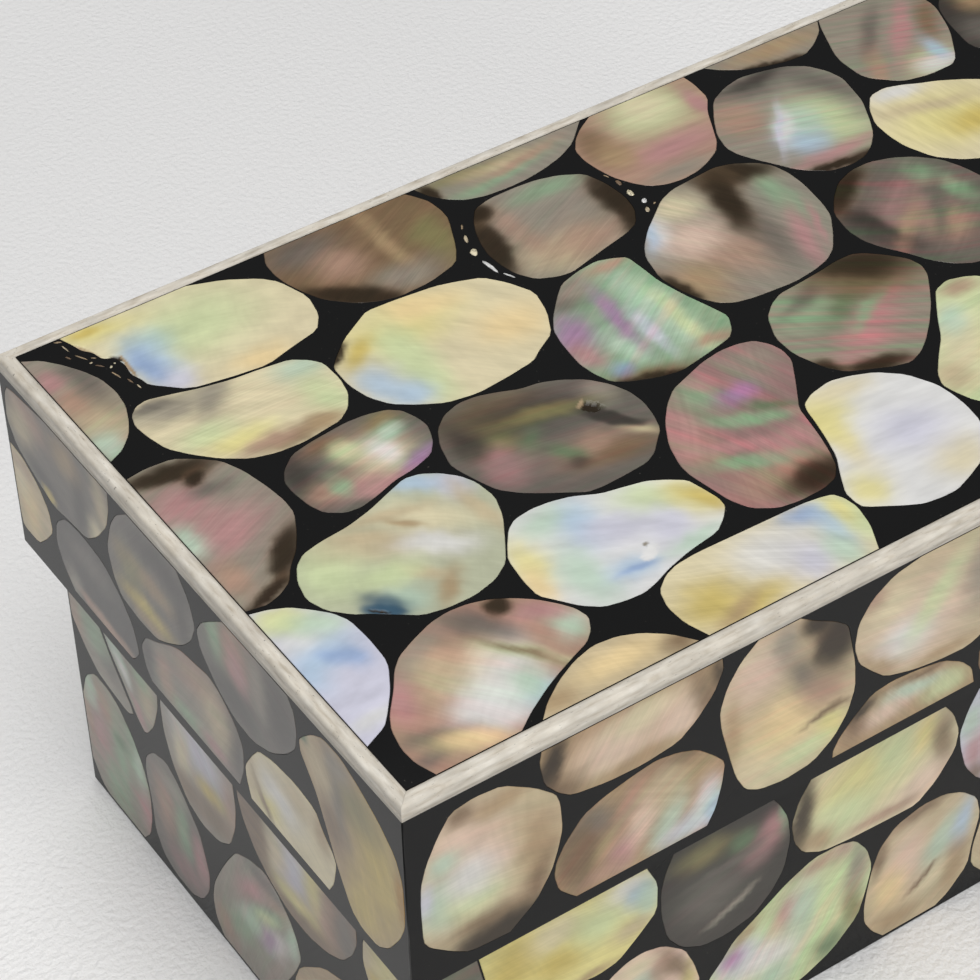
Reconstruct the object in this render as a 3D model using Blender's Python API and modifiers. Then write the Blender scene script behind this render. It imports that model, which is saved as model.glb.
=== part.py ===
"""A shell box: a lidded box faced with flat-ground mother-of-pearl pebbles set flush in black resin.

The lid is a deep cap that lifts straight off and overhangs the base all round. Four mitred bone strips edge its top.
Run it with blender --background --python part.py, or from Blender's text editor. Metres, +Z up, origin under the
middle of the base. The front of the box faces -Y.
"""

import math
import random
from collections import namedtuple

import bmesh
import bpy
from mathutils import Matrix, Vector

# Driving dimensions
LID_LENGTH = 0.300  # end to end, outside
LID_WIDTH = 0.150  # front to back, outside
LID_HEIGHT = 0.0509  # outside, from the lower edge to the top
LID_TOP = 0.006  # thickness of the lid's top
LID_WALL = 0.0048  # thickness of the lid's sides
SLIP = 0.0007  # play between the lid's sides and the base
BASE_SHOWS = 0.0726  # height of the base below the lid's edge
BASE_WALL = 0.006
BASE_FLOOR = 0.006
FOOT_EASE = 0.0006  # flat taken off the base's bottom edges

STRIP_WIDE = 0.0031  # bone strip, seen from above
STRIP_TALL = 0.0037  # bone strip, seen from the side
STRIP_ROUND = 0.0005  # flat taken off its edges

SHELL_THICK = 0.0015
BELT_TALL = 0.0034  # how far the base's shells run up behind the lid's edge
LID_BORDER = 0.0030  # bare resin below the lid's shells
BASE_BORDER = 0.0010  # bare resin below the base's shells
TOP_SIDES = 11  # ground facets round a shell of the lid's top
BELT_SIDES = 8  # and round one of the side faces
UNEVEN = 0.20  # how unevenly the facets are spaced, as a share of a facet
SQUARENESS = 2.4  # 2 draws a shell as an ellipse, and more as a squarer oval
BEND_MIDDLE = 0.4  # where along a bent shell its bend is nothing, as a squared share of its half length

CORNER_RESIN = 0.0006  # resin between a long face's pockets and those of the short face round the corner

FIT = 0.0003  # gap between pieces that touch
KISS = -0.0004  # neighbours in a belt overlap by this where they touch
PAST = 0.002  # how far a cutter stands out of what it cuts
GRIND_ROUNDS = 10  # passes of grinding neighbours back from each other
GRIND_EASE = 0.6  # share of an overlap taken off in one pass
GRIND_MOST = 0.2  # most of a corner's distance from its shell's middle taken off in one pass
SHARPEST = 0.2  # keeps an offset corner from running out into a spike
TINY = 1e-18  # keeps a division clear of nothing, in square metres
WELD = 1e-6  # points closer than this are one

# What follows from them
HEIGHT = BASE_SHOWS + LID_HEIGHT
OVERHANG = LID_WALL + SLIP
BASE_HEIGHT = HEIGHT - LID_TOP - FIT
BASE_LENGTH = LID_LENGTH - 2 * OVERHANG
BASE_WIDTH = LID_WIDTH - 2 * OVERHANG
CORNER_BORDER = SHELL_THICK + 2 * FIT + CORNER_RESIN

# The mother-of-pearl pebbles. Each row is one shell as it was drawn on its face, in millimetres and degrees:
# x and y of its middle, length, width, turn of its length from the face's x axis, how much fatter its far end is,
# and how much it is bent. They were drawn on faces of these sizes, and follow the real face when that changes.
Shell = namedtuple("Shell", "x y length width turn fatter bent", defaults=(0.0, 0.0))

DRAWN_TOP = (300, 150)
TOP_SHELLS = [
    Shell(37, 134, 49, 33, -15),
    Shell(80, 137, 40.5, 39, 0),
    Shell(120, 150, 45, 28, 0),
    Shell(117, 120.5, 40, 31, 10, 0.05),
    Shell(152.5, 136.5, 43, 36, 60, 0.1),
    Shell(191, 150, 36, 26, 2),
    Shell(180.5, 119.5, 39, 35, 70, 0.08),
    Shell(217.5, 132.5, 38, 29, 70, 0.1),
    Shell(243, 126, 30, 26, 70),
    Shell(212, 100.5, 40, 32, -20),
    Shell(145.5, 95, 46, 38, 35),
    Shell(182.5, 78.5, 41, 33, -60),
    Shell(149.5, 59.8, 41, 32, 25, 0.08),
    Shell(111, 85.5, 40, 30, -78, 0.18, 0.15),
    Shell(76.7, 100.8, 47, 34.5, 3),
    Shell(32.5, 105.5, 42, 27, -14, 0.1, 0.1),
    Shell(-2, 126.5, 38, 33, 85),
    Shell(43, 80, 33, 20.5, 14, 0.05),
    Shell(4, 79, 46, 41, 80),
    Shell(37, 53.5, 45, 29, 18, 0.12, 0.15),
    Shell(77, 65, 43, 34, -28),
    Shell(110.5, 43.5, 47, 31, 62, 0.05, -0.15),
    Shell(131, 26.5, 40, 33, 62, -0.05, 0.12),
    Shell(165, 38, 42, 28, 58, 0, 0.1),
    Shell(70.5, 34.5, 44, 28, -12, -0.15, -0.05),
    Shell(90, 9.5, 45.5, 26, 0),
    Shell(2, 36, 40, 32, 95),
    Shell(30.5, 19, 47, 30, 24, -0.05, -0.05),
    Shell(48, 0, 39, 27.5, 0),
    Shell(162, 3, 42, 26, 0),
    Shell(193, 25, 40, 30, 75),
    Shell(202, 57, 36, 27, -30),
    Shell(234, 72, 41, 29, 22, 0.05),
    Shell(228, 38, 40, 31, 40),
    Shell(222, 5, 38, 26, 0),
    Shell(261, 20, 40, 29, -22, 0.05),
    Shell(265, 50, 37, 27, 10),
    Shell(298, 38, 40, 31, 95),
    Shell(294, 6, 26, 20, -20),
    Shell(270, 80, 40, 27, -12),
    Shell(300, 81, 42, 24, 90),
    Shell(243, 98, 24, 19, 10),
    Shell(273, 111, 38, 30, 15),
    Shell(298, 112, 20, 18, 80),
    Shell(279, 143, 46, 31, 0),
]

DRAWN_LID_LONG = (300, 50.9)
LID_LONG_SHELLS = [
    Shell(18.4, 23, 44, 31.5, 82),
    Shell(50, 45, 42, 30, 0),
    Shell(51.7, 14.3, 39.5, 29.5, 4),
    Shell(86, 25.7, 44, 32, 97, 0, 0.05),
    Shell(124, 36, 47, 39, -30),
    Shell(117.5, 4, 36, 25, -3),
    Shell(147.5, 12, 27, 24, 60),
    Shell(163.5, 37, 34, 28, 20),
    Shell(179, 11, 40, 25, 0),
    Shell(193, 38, 30, 26, -10),
    Shell(220, 24, 44, 32, 80),
    Shell(255, 38, 41, 27, 5),
    Shell(253.5, 11.5, 41, 27, 0),
    Shell(284, 23, 42, 29, 95),
]

DRAWN_LID_SHORT = (150, 50.9)
LID_SHORT_SHELLS = [
    Shell(17, 25, 45, 31, 66, 0.05),
    Shell(54, 38, 38, 30, -15),
    Shell(90.5, 36, 38, 36, -40),
    Shell(127, 40, 44, 36, -5),
    Shell(149, 15, 34, 29, 60),
    Shell(41, 11.5, 34, 24, -3),
    Shell(78, 12, 40.5, 28, -6),
    Shell(116, 12, 35, 26.5, 0),
]

DRAWN_BASE_LONG = (300, 72.6)
BASE_LONG_SHELLS = [
    Shell(40, 59, 44, 36, -15),
    Shell(77.3, 50.5, 41, 32.5, 88),
    Shell(116, 57, 44, 37, 5),
    Shell(97, 20.5, 48, 34, 40),
    Shell(130.5, 18, 40, 31, 80),
    Shell(55, 21, 37, 35, 0),
    Shell(154, 52, 40, 33, -70),
    Shell(21, 19, 42, 31, 60),
    Shell(163, 16, 38, 33, 40),
    Shell(189, 54, 41, 36, 20),
    Shell(198, 18, 40, 34, -20),
    Shell(228, 52, 42, 37, 80),
    Shell(234, 15, 36, 32, 10),
    Shell(265, 56, 38, 36, -20),
    Shell(267, 21, 40, 33, 60),
    Shell(292, 45, 44, 24, 90),
    Shell(291, 8, 24, 20, 30),
    Shell(11, 52, 40, 17, 85),
]

DRAWN_BASE_SHORT = (150, 72.6)
BASE_SHORT_SHELLS = [
    Shell(130.5, 20, 42, 30.5, 85),
    Shell(103, 21, 38, 25.5, 80),
    Shell(90, 51.5, 38, 30, 90),
    Shell(117.5, 58, 36, 20, 65),
    Shell(135, 55, 32, 22, 50),
    Shell(51.5, 56.5, 45, 37, 0),
    Shell(71, 20.5, 47, 31, -60),
    Shell(15, 56, 31, 29, 90),
    Shell(34.5, 20, 43, 32, -28),
]

# Each colour is linear red, green and blue
RESIN = (0.010, 0.010, 0.011)
BONE = (0.66, 0.60, 0.50)
NACRE_TONES = [
    (0.67, 0.63, 0.45),
    (0.30, 0.24, 0.20),
    (0.38, 0.40, 0.28),
    (0.52, 0.50, 0.44),
    (0.20, 0.16, 0.14),
    (0.40, 0.32, 0.30),
]


def new_collection(name):
    collection = bpy.data.collections.new(name)
    bpy.context.scene.collection.children.link(collection)
    return collection


def new_material(name, colour, roughness):
    material = bpy.data.materials.new(name)
    material.use_nodes = True
    shader = material.node_tree.nodes["Principled BSDF"]
    shader.inputs["Base Color"].default_value = (*colour, 1.0)
    shader.inputs["Roughness"].default_value = roughness
    shader.inputs["Metallic"].default_value = 0.0
    return material


def hide_cutter(cutter):
    cutter.hide_render = True
    cutter.display_type = "WIRE"


def box(name, collection, low, high):
    """A box between two corners, from the cube primitive."""
    middle = (Vector(low) + Vector(high)) / 2
    size = Vector(high) - Vector(low)
    bpy.ops.mesh.primitive_cube_add(size=1, location=middle)
    made = bpy.context.object
    made.name = name
    made.data.transform(Matrix.Diagonal((*size, 1)))
    for other in list(made.users_collection):
        other.objects.unlink(made)
    collection.objects.link(made)
    return made


# The faces that carry shells. right and up are the directions of a face's x and y axes, and out points away from
# the box. field is the lowest and highest corner of the part of it that shells may cover.
Face = namedtuple("Face", "name corner right up out drawn size field")
X, Y, Z = Vector((1, 0, 0)), Vector((0, 1, 0)), Vector((0, 0, 1))


def face_matrix(face):
    """Carries a point drawn on the face to its place on the box."""
    turn = Matrix((face.right, face.up, face.right.cross(face.up))).transposed()
    return Matrix.Translation(face.corner) @ turn.to_4x4()


def top_face():
    edge = STRIP_WIDE + FIT
    return Face(
        "lid_top",
        Vector((-LID_LENGTH / 2, -LID_WIDTH / 2, HEIGHT)),
        X,
        Y,
        Z,
        DRAWN_TOP,
        (LID_LENGTH, LID_WIDTH),
        ((edge, edge), (LID_LENGTH - edge, LID_WIDTH - edge)),
    )


def side_faces(part, inset, foot, head, low, high, drawn_long, drawn_short):
    """The front, back, left and right face of the lid or the base. Their x axes start at the lid's corner."""
    half_long, half_wide = LID_LENGTH / 2, LID_WIDTH / 2
    tall = head - foot
    margin = inset + CORNER_BORDER
    long_field = ((margin, low), (LID_LENGTH - margin, high))
    short_field = ((inset, low), (LID_WIDTH - inset, high))
    long_size, short_size = (LID_LENGTH, tall), (LID_WIDTH, tall)
    front = Vector((-half_long, inset - half_wide, foot))
    back = Vector((-half_long, half_wide - inset, foot))
    left = Vector((inset - half_long, -half_wide, foot))
    right = Vector((half_long - inset, -half_wide, foot))
    return [
        Face(part + "_front", front, X, Z, -Y, drawn_long, long_size, long_field),
        Face(part + "_back", back, X, Z, Y, drawn_long, long_size, long_field),
        Face(part + "_left", left, Y, Z, -X, drawn_short, short_size, short_field),
        Face(part + "_right", right, Y, Z, X, drawn_short, short_size, short_field),
    ]


def pebble(shell, sides, chance):
    """A shell's outline: a squarish oval ground to flats, in the millimetres of its drawing."""
    full = math.sqrt(math.tau / sides / math.sin(math.tau / sides))
    swing = math.radians(shell.turn)
    outline = []
    for corner in range(sides):
        angle = math.tau * (corner + chance.uniform(-UNEVEN, UNEVEN)) / sides
        along = math.copysign(abs(math.cos(angle)) ** (2 / SQUARENESS), math.cos(angle))
        across = math.copysign(abs(math.sin(angle)) ** (2 / SQUARENESS), math.sin(angle))
        across = across * (1 + shell.fatter * along) + shell.bent * (along * along - BEND_MIDDLE)
        u = full * along * shell.length / 2
        v = full * across * shell.width / 2
        x = shell.x + u * math.cos(swing) - v * math.sin(swing)
        y = shell.y + u * math.sin(swing) + v * math.cos(swing)
        outline.append((x, y))
    return outline


def trimmed(outline, field):
    """The part of an outline inside the field, cut straight at its borders."""
    low, high = field
    for axis, bound, side in ((0, low[0], 1), (0, high[0], -1), (1, low[1], 1), (1, high[1], -1)):
        kept = []
        for here, there in zip(outline, outline[1:] + outline[:1]):
            inside_here = side * (here[axis] - bound)
            inside_there = side * (there[axis] - bound)
            if inside_here >= 0:
                kept.append(here)
            if inside_here * inside_there < 0:
                share = inside_here / (inside_here - inside_there)
                kept.append(tuple(a + share * (b - a) for a, b in zip(here, there)))
        outline = kept
    return outline


def middle_of(outline):
    return tuple(sum(values) / len(outline) for values in zip(*outline))


def room(point, outline):
    """How far a point lies outside an outline, or less than nothing if it lies inside."""
    nearest, inside = math.inf, False
    x, y = point
    for (ax, ay), (bx, by) in zip(outline, outline[1:] + outline[:1]):
        run, rise = bx - ax, by - ay
        share = ((x - ax) * run + (y - ay) * rise) / max(run * run + rise * rise, TINY)
        share = min(1, max(0, share))
        nearest = min(nearest, math.hypot(x - ax - share * run, y - ay - share * rise))
        if (ay > y) != (by > y) and x < ax + (y - ay) / (by - ay) * run:
            inside = not inside
    return -nearest if inside else nearest


def ground_to_fit(outlines, gap):
    """Neighbours are ground back where they come closer than the gap, as a shell setter does."""
    reach = [max(math.dist(p, middle_of(outline)) for p in outline) for outline in outlines]
    for _ in range(GRIND_ROUNDS):
        for first, mine in enumerate(outlines):
            for second, other in enumerate(outlines):
                centre = middle_of(mine)
                apart = math.dist(centre, middle_of(other))
                if first == second or apart > reach[first] + reach[second] + abs(gap):
                    continue
                for corner, point in enumerate(mine):
                    short = gap - room(point, other)
                    if short > 0:
                        pull = min(GRIND_MOST, GRIND_EASE * short / math.dist(point, centre))
                        mine[corner] = tuple(a + pull * (b - a) for a, b in zip(point, centre))
    return outlines


def grown(outline, by):
    """An outline with every edge moved outwards."""
    wider = []
    for before, here, after in zip(outline[-1:] + outline[:-1], outline, outline[1:] + outline[:1]):
        into = Vector((here[0] - before[0], here[1] - before[1])).normalized()
        onward = Vector((after[0] - here[0], after[1] - here[1])).normalized()
        first = Vector((into.y, -into.x))
        second = Vector((onward.y, -onward.x))
        push = (first + second) * by / max(SHARPEST, 1 + first.dot(second))
        wider.append((here[0] + push.x, here[1] + push.y))
    return wider


def shell_outlines(face, shells, sides, gap, seed):
    """The outlines of a face's shells, in metres on the face, trimmed and ground to fit."""
    chance = random.Random(seed)
    across, upward = (real / drawn for real, drawn in zip(face.size, face.drawn))
    outlines = []
    for shell in shells:
        drawn = [(x * across, y * upward) for x, y in pebble(shell, sides, chance)]
        outlines.append(trimmed(drawn, face.field))
    return ground_to_fit(outlines, gap)


def turned_over(shells, face):
    """The same drawing, turned half round about the middle of the face's field."""
    (low_x, low_y), (high_x, high_y) = face.field
    wide = (low_x + high_x) * face.drawn[0] / face.size[0]
    tall = (low_y + high_y) * face.drawn[1] / face.size[1]
    return [s._replace(x=wide - s.x, y=tall - s.y, turn=s.turn + 180) for s in shells]


def plate(name, collection, outline, face, outer, inner):
    """A flat piece with the outline drawn on the face, between two depths below its surface."""
    curve = bpy.data.curves.new(name, "CURVE")
    curve.dimensions = "2D"
    curve.fill_mode = "BOTH"
    curve.extrude = (inner - outer) / 2
    spline = curve.splines.new("POLY")
    spline.points.add(len(outline) - 1)
    for point, (x, y) in zip(spline.points, outline):
        point.co = (x, y, 0, 1)
    spline.use_cyclic_u = True
    drawn = bpy.data.objects.new(name, curve)
    collection.objects.link(drawn)
    drawn.matrix_world = Matrix.Translation(-face.out * (outer + inner) / 2) @ face_matrix(face)
    return drawn


def as_mesh(drawn):
    """The same piece as a closed mesh, which a Boolean can use."""
    mesh = bpy.data.meshes.new_from_object(drawn)
    weld = bmesh.new()
    weld.from_mesh(mesh)
    bmesh.ops.remove_doubles(weld, verts=weld.verts, dist=WELD)
    bmesh.ops.recalc_face_normals(weld, faces=weld.faces)
    weld.to_mesh(mesh)
    weld.free()
    name, collection = drawn.name, drawn.users_collection[0]
    placed = drawn.matrix_world.copy()
    bpy.data.objects.remove(drawn)
    made = bpy.data.objects.new(name, mesh)
    made.matrix_world = placed
    collection.objects.link(made)
    return made


def combine(target, operation, others):
    """Joins a collection's objects to the target, or cuts them from it. It comes once every piece is made."""
    modifier = target.modifiers.new(operation.lower(), "BOOLEAN")
    modifier.operation = operation
    modifier.operand_type = "COLLECTION"
    modifier.collection = others
    modifier.solver = "EXACT"


def cut_pockets(body, face, outlines, cutters):
    """Pockets in which the face's shells lie flush."""
    for number, outline in enumerate(outlines, 1):
        name = f"pocket_{face.name}_{number:02d}"
        pocket = plate(name, cutters, grown(outline, FIT), face, -PAST, SHELL_THICK + FIT)
        hide_cutter(as_mesh(pocket))


def shell_belt(face, outlines, part, material):
    """The shells of a side face, which become one solid where neighbours touch."""
    name = face.name + "_shells"
    others = new_collection(name + "_joined")
    for number, outline in enumerate(outlines[1:], 2):
        drawn = plate(f"{name}_{number:02d}", others, outline, face, 0.0, SHELL_THICK)
        hide_cutter(as_mesh(drawn))
    belt = as_mesh(plate(name, part, outlines[0], face, 0.0, SHELL_THICK))
    belt.data.materials.append(material)
    return belt, "UNION", others


def bone_strip(side, part, material):
    """One strip of the lid's edging, mitred at both ends."""
    face = top_face()
    long, wide, deep, play = LID_LENGTH, LID_WIDTH, STRIP_WIDE, FIT / 2
    outlines = {
        "front": [(0, 0), (long, 0), (long - deep, deep), (deep, deep)],
        "back": [(deep, wide - deep), (long - deep, wide - deep), (long, wide), (0, wide)],
        "left": [(0, 0), (deep, deep), (deep, wide - deep), (0, wide)],
        "right": [(long - deep, deep), (long, 0), (long, wide), (long - deep, wide - deep)],
    }
    # A mitre's two cut faces stand the gap apart, so each strip's corners are drawn in along its length
    along = 0 if side in ("front", "back") else 1
    half = face.size[along] / 2
    outline = [
        tuple(value + math.copysign(play, half - value) * (axis == along) for axis, value in enumerate(point))
        for point in outlines[side]
    ]
    strip = plate(f"bone_strip_{side}", part, outline, face, 0.0, STRIP_TALL)
    strip.data.materials.append(material)
    weld = strip.modifiers.new("weld", "WELD")
    weld.merge_threshold = WELD
    rounding = strip.modifiers.new("rounding", "BEVEL")
    rounding.width = STRIP_ROUND
    rounding.segments = 1


def cut_lid(cutters):
    """The lid's hollow, and the rebate in which the bone strips lie."""
    half_long, half_wide = LID_LENGTH / 2, LID_WIDTH / 2
    inner = Vector((half_long - LID_WALL, half_wide - LID_WALL, 0))
    foot = BASE_SHOWS
    hollow = box("lid_hollow", cutters, -inner + Z * (foot - PAST), inner + Z * (HEIGHT - LID_TOP))
    hide_cutter(hollow)
    deep, tall = STRIP_WIDE + FIT, STRIP_TALL + FIT
    for side in (-1, 1):
        ends = sorted((side * (half_wide - deep), side * (half_wide + PAST)))
        low = (-half_long - PAST, ends[0], HEIGHT - tall)
        hide_cutter(box("rebate_long", cutters, low, (half_long + PAST, ends[1], HEIGHT + PAST)))
        ends = sorted((side * (half_long - deep), side * (half_long + PAST)))
        low = (ends[0], -half_wide - PAST, HEIGHT - tall)
        hide_cutter(box("rebate_short", cutters, low, (ends[1], half_wide + PAST, HEIGHT + PAST)))


def make_lid(part, resin, nacres):
    cutters = new_collection("lid_cutters")
    corner = Vector((LID_LENGTH / 2, LID_WIDTH / 2, 0))
    lid = box("lid", part, -corner + Z * BASE_SHOWS, corner + Z * HEIGHT)
    lid.data.materials.append(resin)
    cut_lid(cutters)

    face = top_face()
    outlines = shell_outlines(face, TOP_SHELLS, TOP_SIDES, FIT, seed=1)
    cut_pockets(lid, face, outlines, cutters)
    for number, outline in enumerate(outlines, 1):
        shell = plate(f"top_shell_{number:02d}", part, outline, face, 0.0, SHELL_THICK)
        shell.data.materials.append(nacres[number % len(nacres)])

    high = LID_HEIGHT - STRIP_TALL - FIT
    faces = side_faces("lid", 0, BASE_SHOWS, HEIGHT, LID_BORDER, high, DRAWN_LID_LONG, DRAWN_LID_SHORT)
    belts = add_belts(lid, faces, LID_LONG_SHELLS, LID_SHORT_SHELLS, part, cutters, nacres[0])
    return [(lid, "DIFFERENCE", cutters), *belts]


def ease_foot(base):
    """Takes the sharp edge off the bottom, on which the box stands."""
    weights = base.data.attributes.new("bevel_weight_edge", "FLOAT", "EDGE")
    for edge in base.data.edges:
        heights = [(base.matrix_world @ base.data.vertices[v].co).z for v in edge.vertices]
        weights.data[edge.index].value = float(max(heights) < BASE_FLOOR)
    easing = base.modifiers.new("easing", "BEVEL")
    easing.limit_method = "WEIGHT"
    easing.width = FOOT_EASE
    easing.segments = 1


def make_base(part, resin, nacres):
    cutters = new_collection("base_cutters")
    corner = Vector((BASE_LENGTH / 2, BASE_WIDTH / 2, 0))
    base = box("base", part, -corner, corner + Z * BASE_HEIGHT)
    base.data.materials.append(resin)
    ease_foot(base)
    inner = corner - Vector((BASE_WALL, BASE_WALL, 0))
    hollow = box("base_hollow", cutters, -inner + Z * BASE_FLOOR, inner + Z * (BASE_HEIGHT + PAST))
    hide_cutter(hollow)

    high = BASE_SHOWS + BELT_TALL
    faces = side_faces("base", OVERHANG, 0, BASE_SHOWS, BASE_BORDER, high, DRAWN_BASE_LONG, DRAWN_BASE_SHORT)
    belts = add_belts(base, faces, BASE_LONG_SHELLS, BASE_SHORT_SHELLS, part, cutters, nacres[1])
    return [(base, "DIFFERENCE", cutters), *belts]


def add_belts(body, faces, long_shells, short_shells, part, cutters, nacre):
    """Shells on the front and the left as drawn, and turned half round on the back and the right."""
    front, back, left, right = faces
    drawings = [
        (front, long_shells),
        (back, turned_over(long_shells, back)),
        (left, short_shells),
        (right, turned_over(short_shells, right)),
    ]
    belts = []
    for seed, (face, shells) in enumerate(drawings, 2):
        outlines = shell_outlines(face, shells, BELT_SIDES, KISS, seed)
        cut_pockets(body, face, outlines, cutters)
        belts.append(shell_belt(face, outlines, part, nacre))
    return belts


def make_box():
    for old in list(bpy.data.objects):
        bpy.data.objects.remove(old)
    part = new_collection("shell_box")
    resin = new_material("black_resin", RESIN, 0.2)
    bone = new_material("bone", BONE, 0.5)
    nacres = [new_material(f"nacre_{n}", tone, 0.25) for n, tone in enumerate(NACRE_TONES, 1)]
    work = make_lid(part, resin, nacres) + make_base(part, resin, nacres)
    for side in ("front", "back", "left", "right"):
        bone_strip(side, part, bone)
    for target, operation, others in work:
        combine(target, operation, others)


make_box()
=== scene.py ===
"""The looks of a shell box: mother-of-pearl pebbles, ground flat and flush in black resin, on a wooden case.

The sections follow the box as it is put together: the camera and the studio, the lid's case, its shells, the
resin poured between them, the bone edging, then the base in the same way. The unit is the metre, and sizes
in the tables of shells are millimetres on the face that carries them.
"""

import math
import random

import bmesh
import bpy
import numpy as np
from mathutils import Matrix, Vector, noise
from mathutils.geometry import delaunay_2d_cdt


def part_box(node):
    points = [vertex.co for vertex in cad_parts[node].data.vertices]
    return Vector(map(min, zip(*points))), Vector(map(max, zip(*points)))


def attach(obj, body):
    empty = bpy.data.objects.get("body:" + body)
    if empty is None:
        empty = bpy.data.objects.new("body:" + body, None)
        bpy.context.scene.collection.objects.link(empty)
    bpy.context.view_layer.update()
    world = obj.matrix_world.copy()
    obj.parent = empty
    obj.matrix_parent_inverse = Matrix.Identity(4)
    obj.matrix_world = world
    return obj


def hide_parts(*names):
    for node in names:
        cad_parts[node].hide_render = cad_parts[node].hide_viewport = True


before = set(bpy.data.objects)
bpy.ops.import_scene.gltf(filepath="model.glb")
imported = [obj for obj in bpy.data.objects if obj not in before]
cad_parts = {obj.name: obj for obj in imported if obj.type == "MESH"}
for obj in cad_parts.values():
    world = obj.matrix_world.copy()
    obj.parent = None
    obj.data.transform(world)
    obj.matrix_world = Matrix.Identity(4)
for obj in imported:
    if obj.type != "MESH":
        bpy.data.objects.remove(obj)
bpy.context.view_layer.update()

# Camera
# It stands as the photographer's did, on the left of the front and above, with a long lens.
CAMERA_PLACE = (-0.33859, -0.39367, 0.53171)
CAMERA_TURN = (47.8386, 1.0990, -34.2035)  # degrees about X, Y and Z
CAMERA_LENS_MM = 117.12

camera_data = bpy.data.cameras.new("camera")
camera_data.lens = CAMERA_LENS_MM
camera_data.sensor_width = 36
camera_data.clip_start = 0.02
camera = bpy.data.objects.new("camera", camera_data)
camera.location = CAMERA_PLACE
camera.rotation_euler = [math.radians(angle) for angle in CAMERA_TURN]
bpy.context.scene.collection.objects.link(camera)
bpy.context.scene.camera = camera
bpy.context.scene.view_settings.view_transform = "Standard"


# Studio floor and light
# A white, finely grained table top under large soft lights. The room above is dim, so that the polished top
# stays black where it mirrors it, while the sides mirror the bright table.
def linear(hex_colour, alpha=1.0):
    """An sRGB hex colour as linear red, green, blue and alpha."""
    values = [int(hex_colour[i : i + 2], 16) / 255 for i in (1, 3, 5)]
    return (*[v / 12.92 if v <= 0.04045 else ((v + 0.055) / 1.055) ** 2.4 for v in values], alpha)


def add(tree, kind, settings=None, links=None):
    """Adds a node. settings are properties, socket values or a ramp's stops, and links feed its sockets."""
    node = tree.nodes.new("ShaderNode" + kind)
    for key, value in (settings or {}).items():
        if key == "stops":
            stops = node.color_ramp.elements
            for position, hex_colour in value:
                stops.new(position).color = linear(hex_colour)
            stops.remove(stops[0])
            stops.remove(stops[-1])
        elif isinstance(key, int) or key in node.inputs:
            node.inputs[key].default_value = value
        else:
            setattr(node, key, value)
    for key, source in (links or {}).items():
        tree.links.new(source, node.inputs[key])
    return node


def new_material(name):
    material = bpy.data.materials.new(name)
    material.use_nodes = True
    return material, material.node_tree, material.node_tree.nodes["Principled BSDF"]


def put_mesh(name, mesh, material, slot, *nodes):
    """Puts a finished mesh in the scene, riding on the box, in the place of the CAD nodes it stands for."""
    piece = bpy.data.objects.new(name, mesh)
    bpy.context.scene.collection.objects.link(piece)
    mesh.materials.append(material)
    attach(piece, "root")
    if nodes:
        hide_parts(*nodes)
    return piece


FLOOR_HALF = 3.0
floor_mesh = bpy.data.meshes.new("table_top")
corners = [(x * FLOOR_HALF, y * FLOOR_HALF, 0) for x, y in ((-1, -1), (1, -1), (1, 1), (-1, 1))]
floor_mesh.from_pydata(corners, [], [(0, 1, 2, 3)])
floor = bpy.data.objects.new("table_top", floor_mesh)
bpy.context.scene.collection.objects.link(floor)
white_laminate, tree, shader = new_material("grained_white_laminate")
GRAIN_MM = 1.6
place = add(tree, "TexCoord")
grain = add(tree, "TexNoise", {"Scale": 1000 / GRAIN_MM, "Detail": 2.0}, {"Vector": place.outputs["Object"]})
relief = add(tree, "Bump", {"Strength": 0.9, "Distance": 0.0006}, {"Height": grain.outputs["Fac"]})
tree.links.new(relief.outputs["Normal"], shader.inputs["Normal"])
shader.inputs["Base Color"].default_value = linear("#e6e5e4")
shader.inputs["Roughness"].default_value = 0.6
floor_mesh.materials.append(white_laminate)

ROOM_GLOW = 0.14
world = bpy.data.worlds.new("room")
world.use_nodes = True
world.node_tree.nodes["Background"].inputs["Color"].default_value = linear("#e8ebef")
world.node_tree.nodes["Background"].inputs["Strength"].default_value = ROOM_GLOW
bpy.context.scene.world = world


def soft_light(name, place, size, power, aim=(0, 0, 0.08)):
    data = bpy.data.lights.new(name, "AREA")
    data.shape = "DISK"
    data.size = size
    data.energy = power
    light = bpy.data.objects.new(name, data)
    light.location = place
    light.rotation_euler = (Vector(aim) - Vector(place)).to_track_quat("-Z", "Y").to_euler()
    bpy.context.scene.collection.objects.link(light)


soft_light("key_light", (-0.5, -0.5, 2.3), 1.8, 46)
soft_light("back_light", (0.2, 0.9, 2.3), 1.2, 12)
soft_light("front_light", (0.3, -2.2, 0.7), 1.2, 20)

# Wooden case of the lid
# Thin wood under the shells and resin, painted black inside. Its top edge is stepped for the bone strips.
lid_low, lid_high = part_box("lid")
_, base_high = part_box("base")
strip_low, strip_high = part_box("bone_strip_front")
left_strip_low, left_strip_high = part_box("bone_strip_left")
HALF_LONG, HALF_WIDE, HEIGHT = lid_high.x, lid_high.y, lid_high.z
LID_FOOT = lid_low.z
STRIP_TALL = strip_high.z - strip_low.z
STRIP_WIDE = left_strip_high.x - left_strip_low.x
OVERHANG = HALF_LONG - base_high.x
SHELL_THICK = 0.0015
FILM = 0.00002  # air that keeps two touching meshes apart
LID_WALL = 0.0048
LID_TOP = 0.0060


def mesh_of(name, shape):
    """Turns a bmesh into a mesh, with its faces outwards."""
    bmesh.ops.recalc_face_normals(shape, faces=shape.faces)
    mesh = bpy.data.meshes.new(name)
    shape.to_mesh(mesh)
    shape.free()
    return mesh


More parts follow.
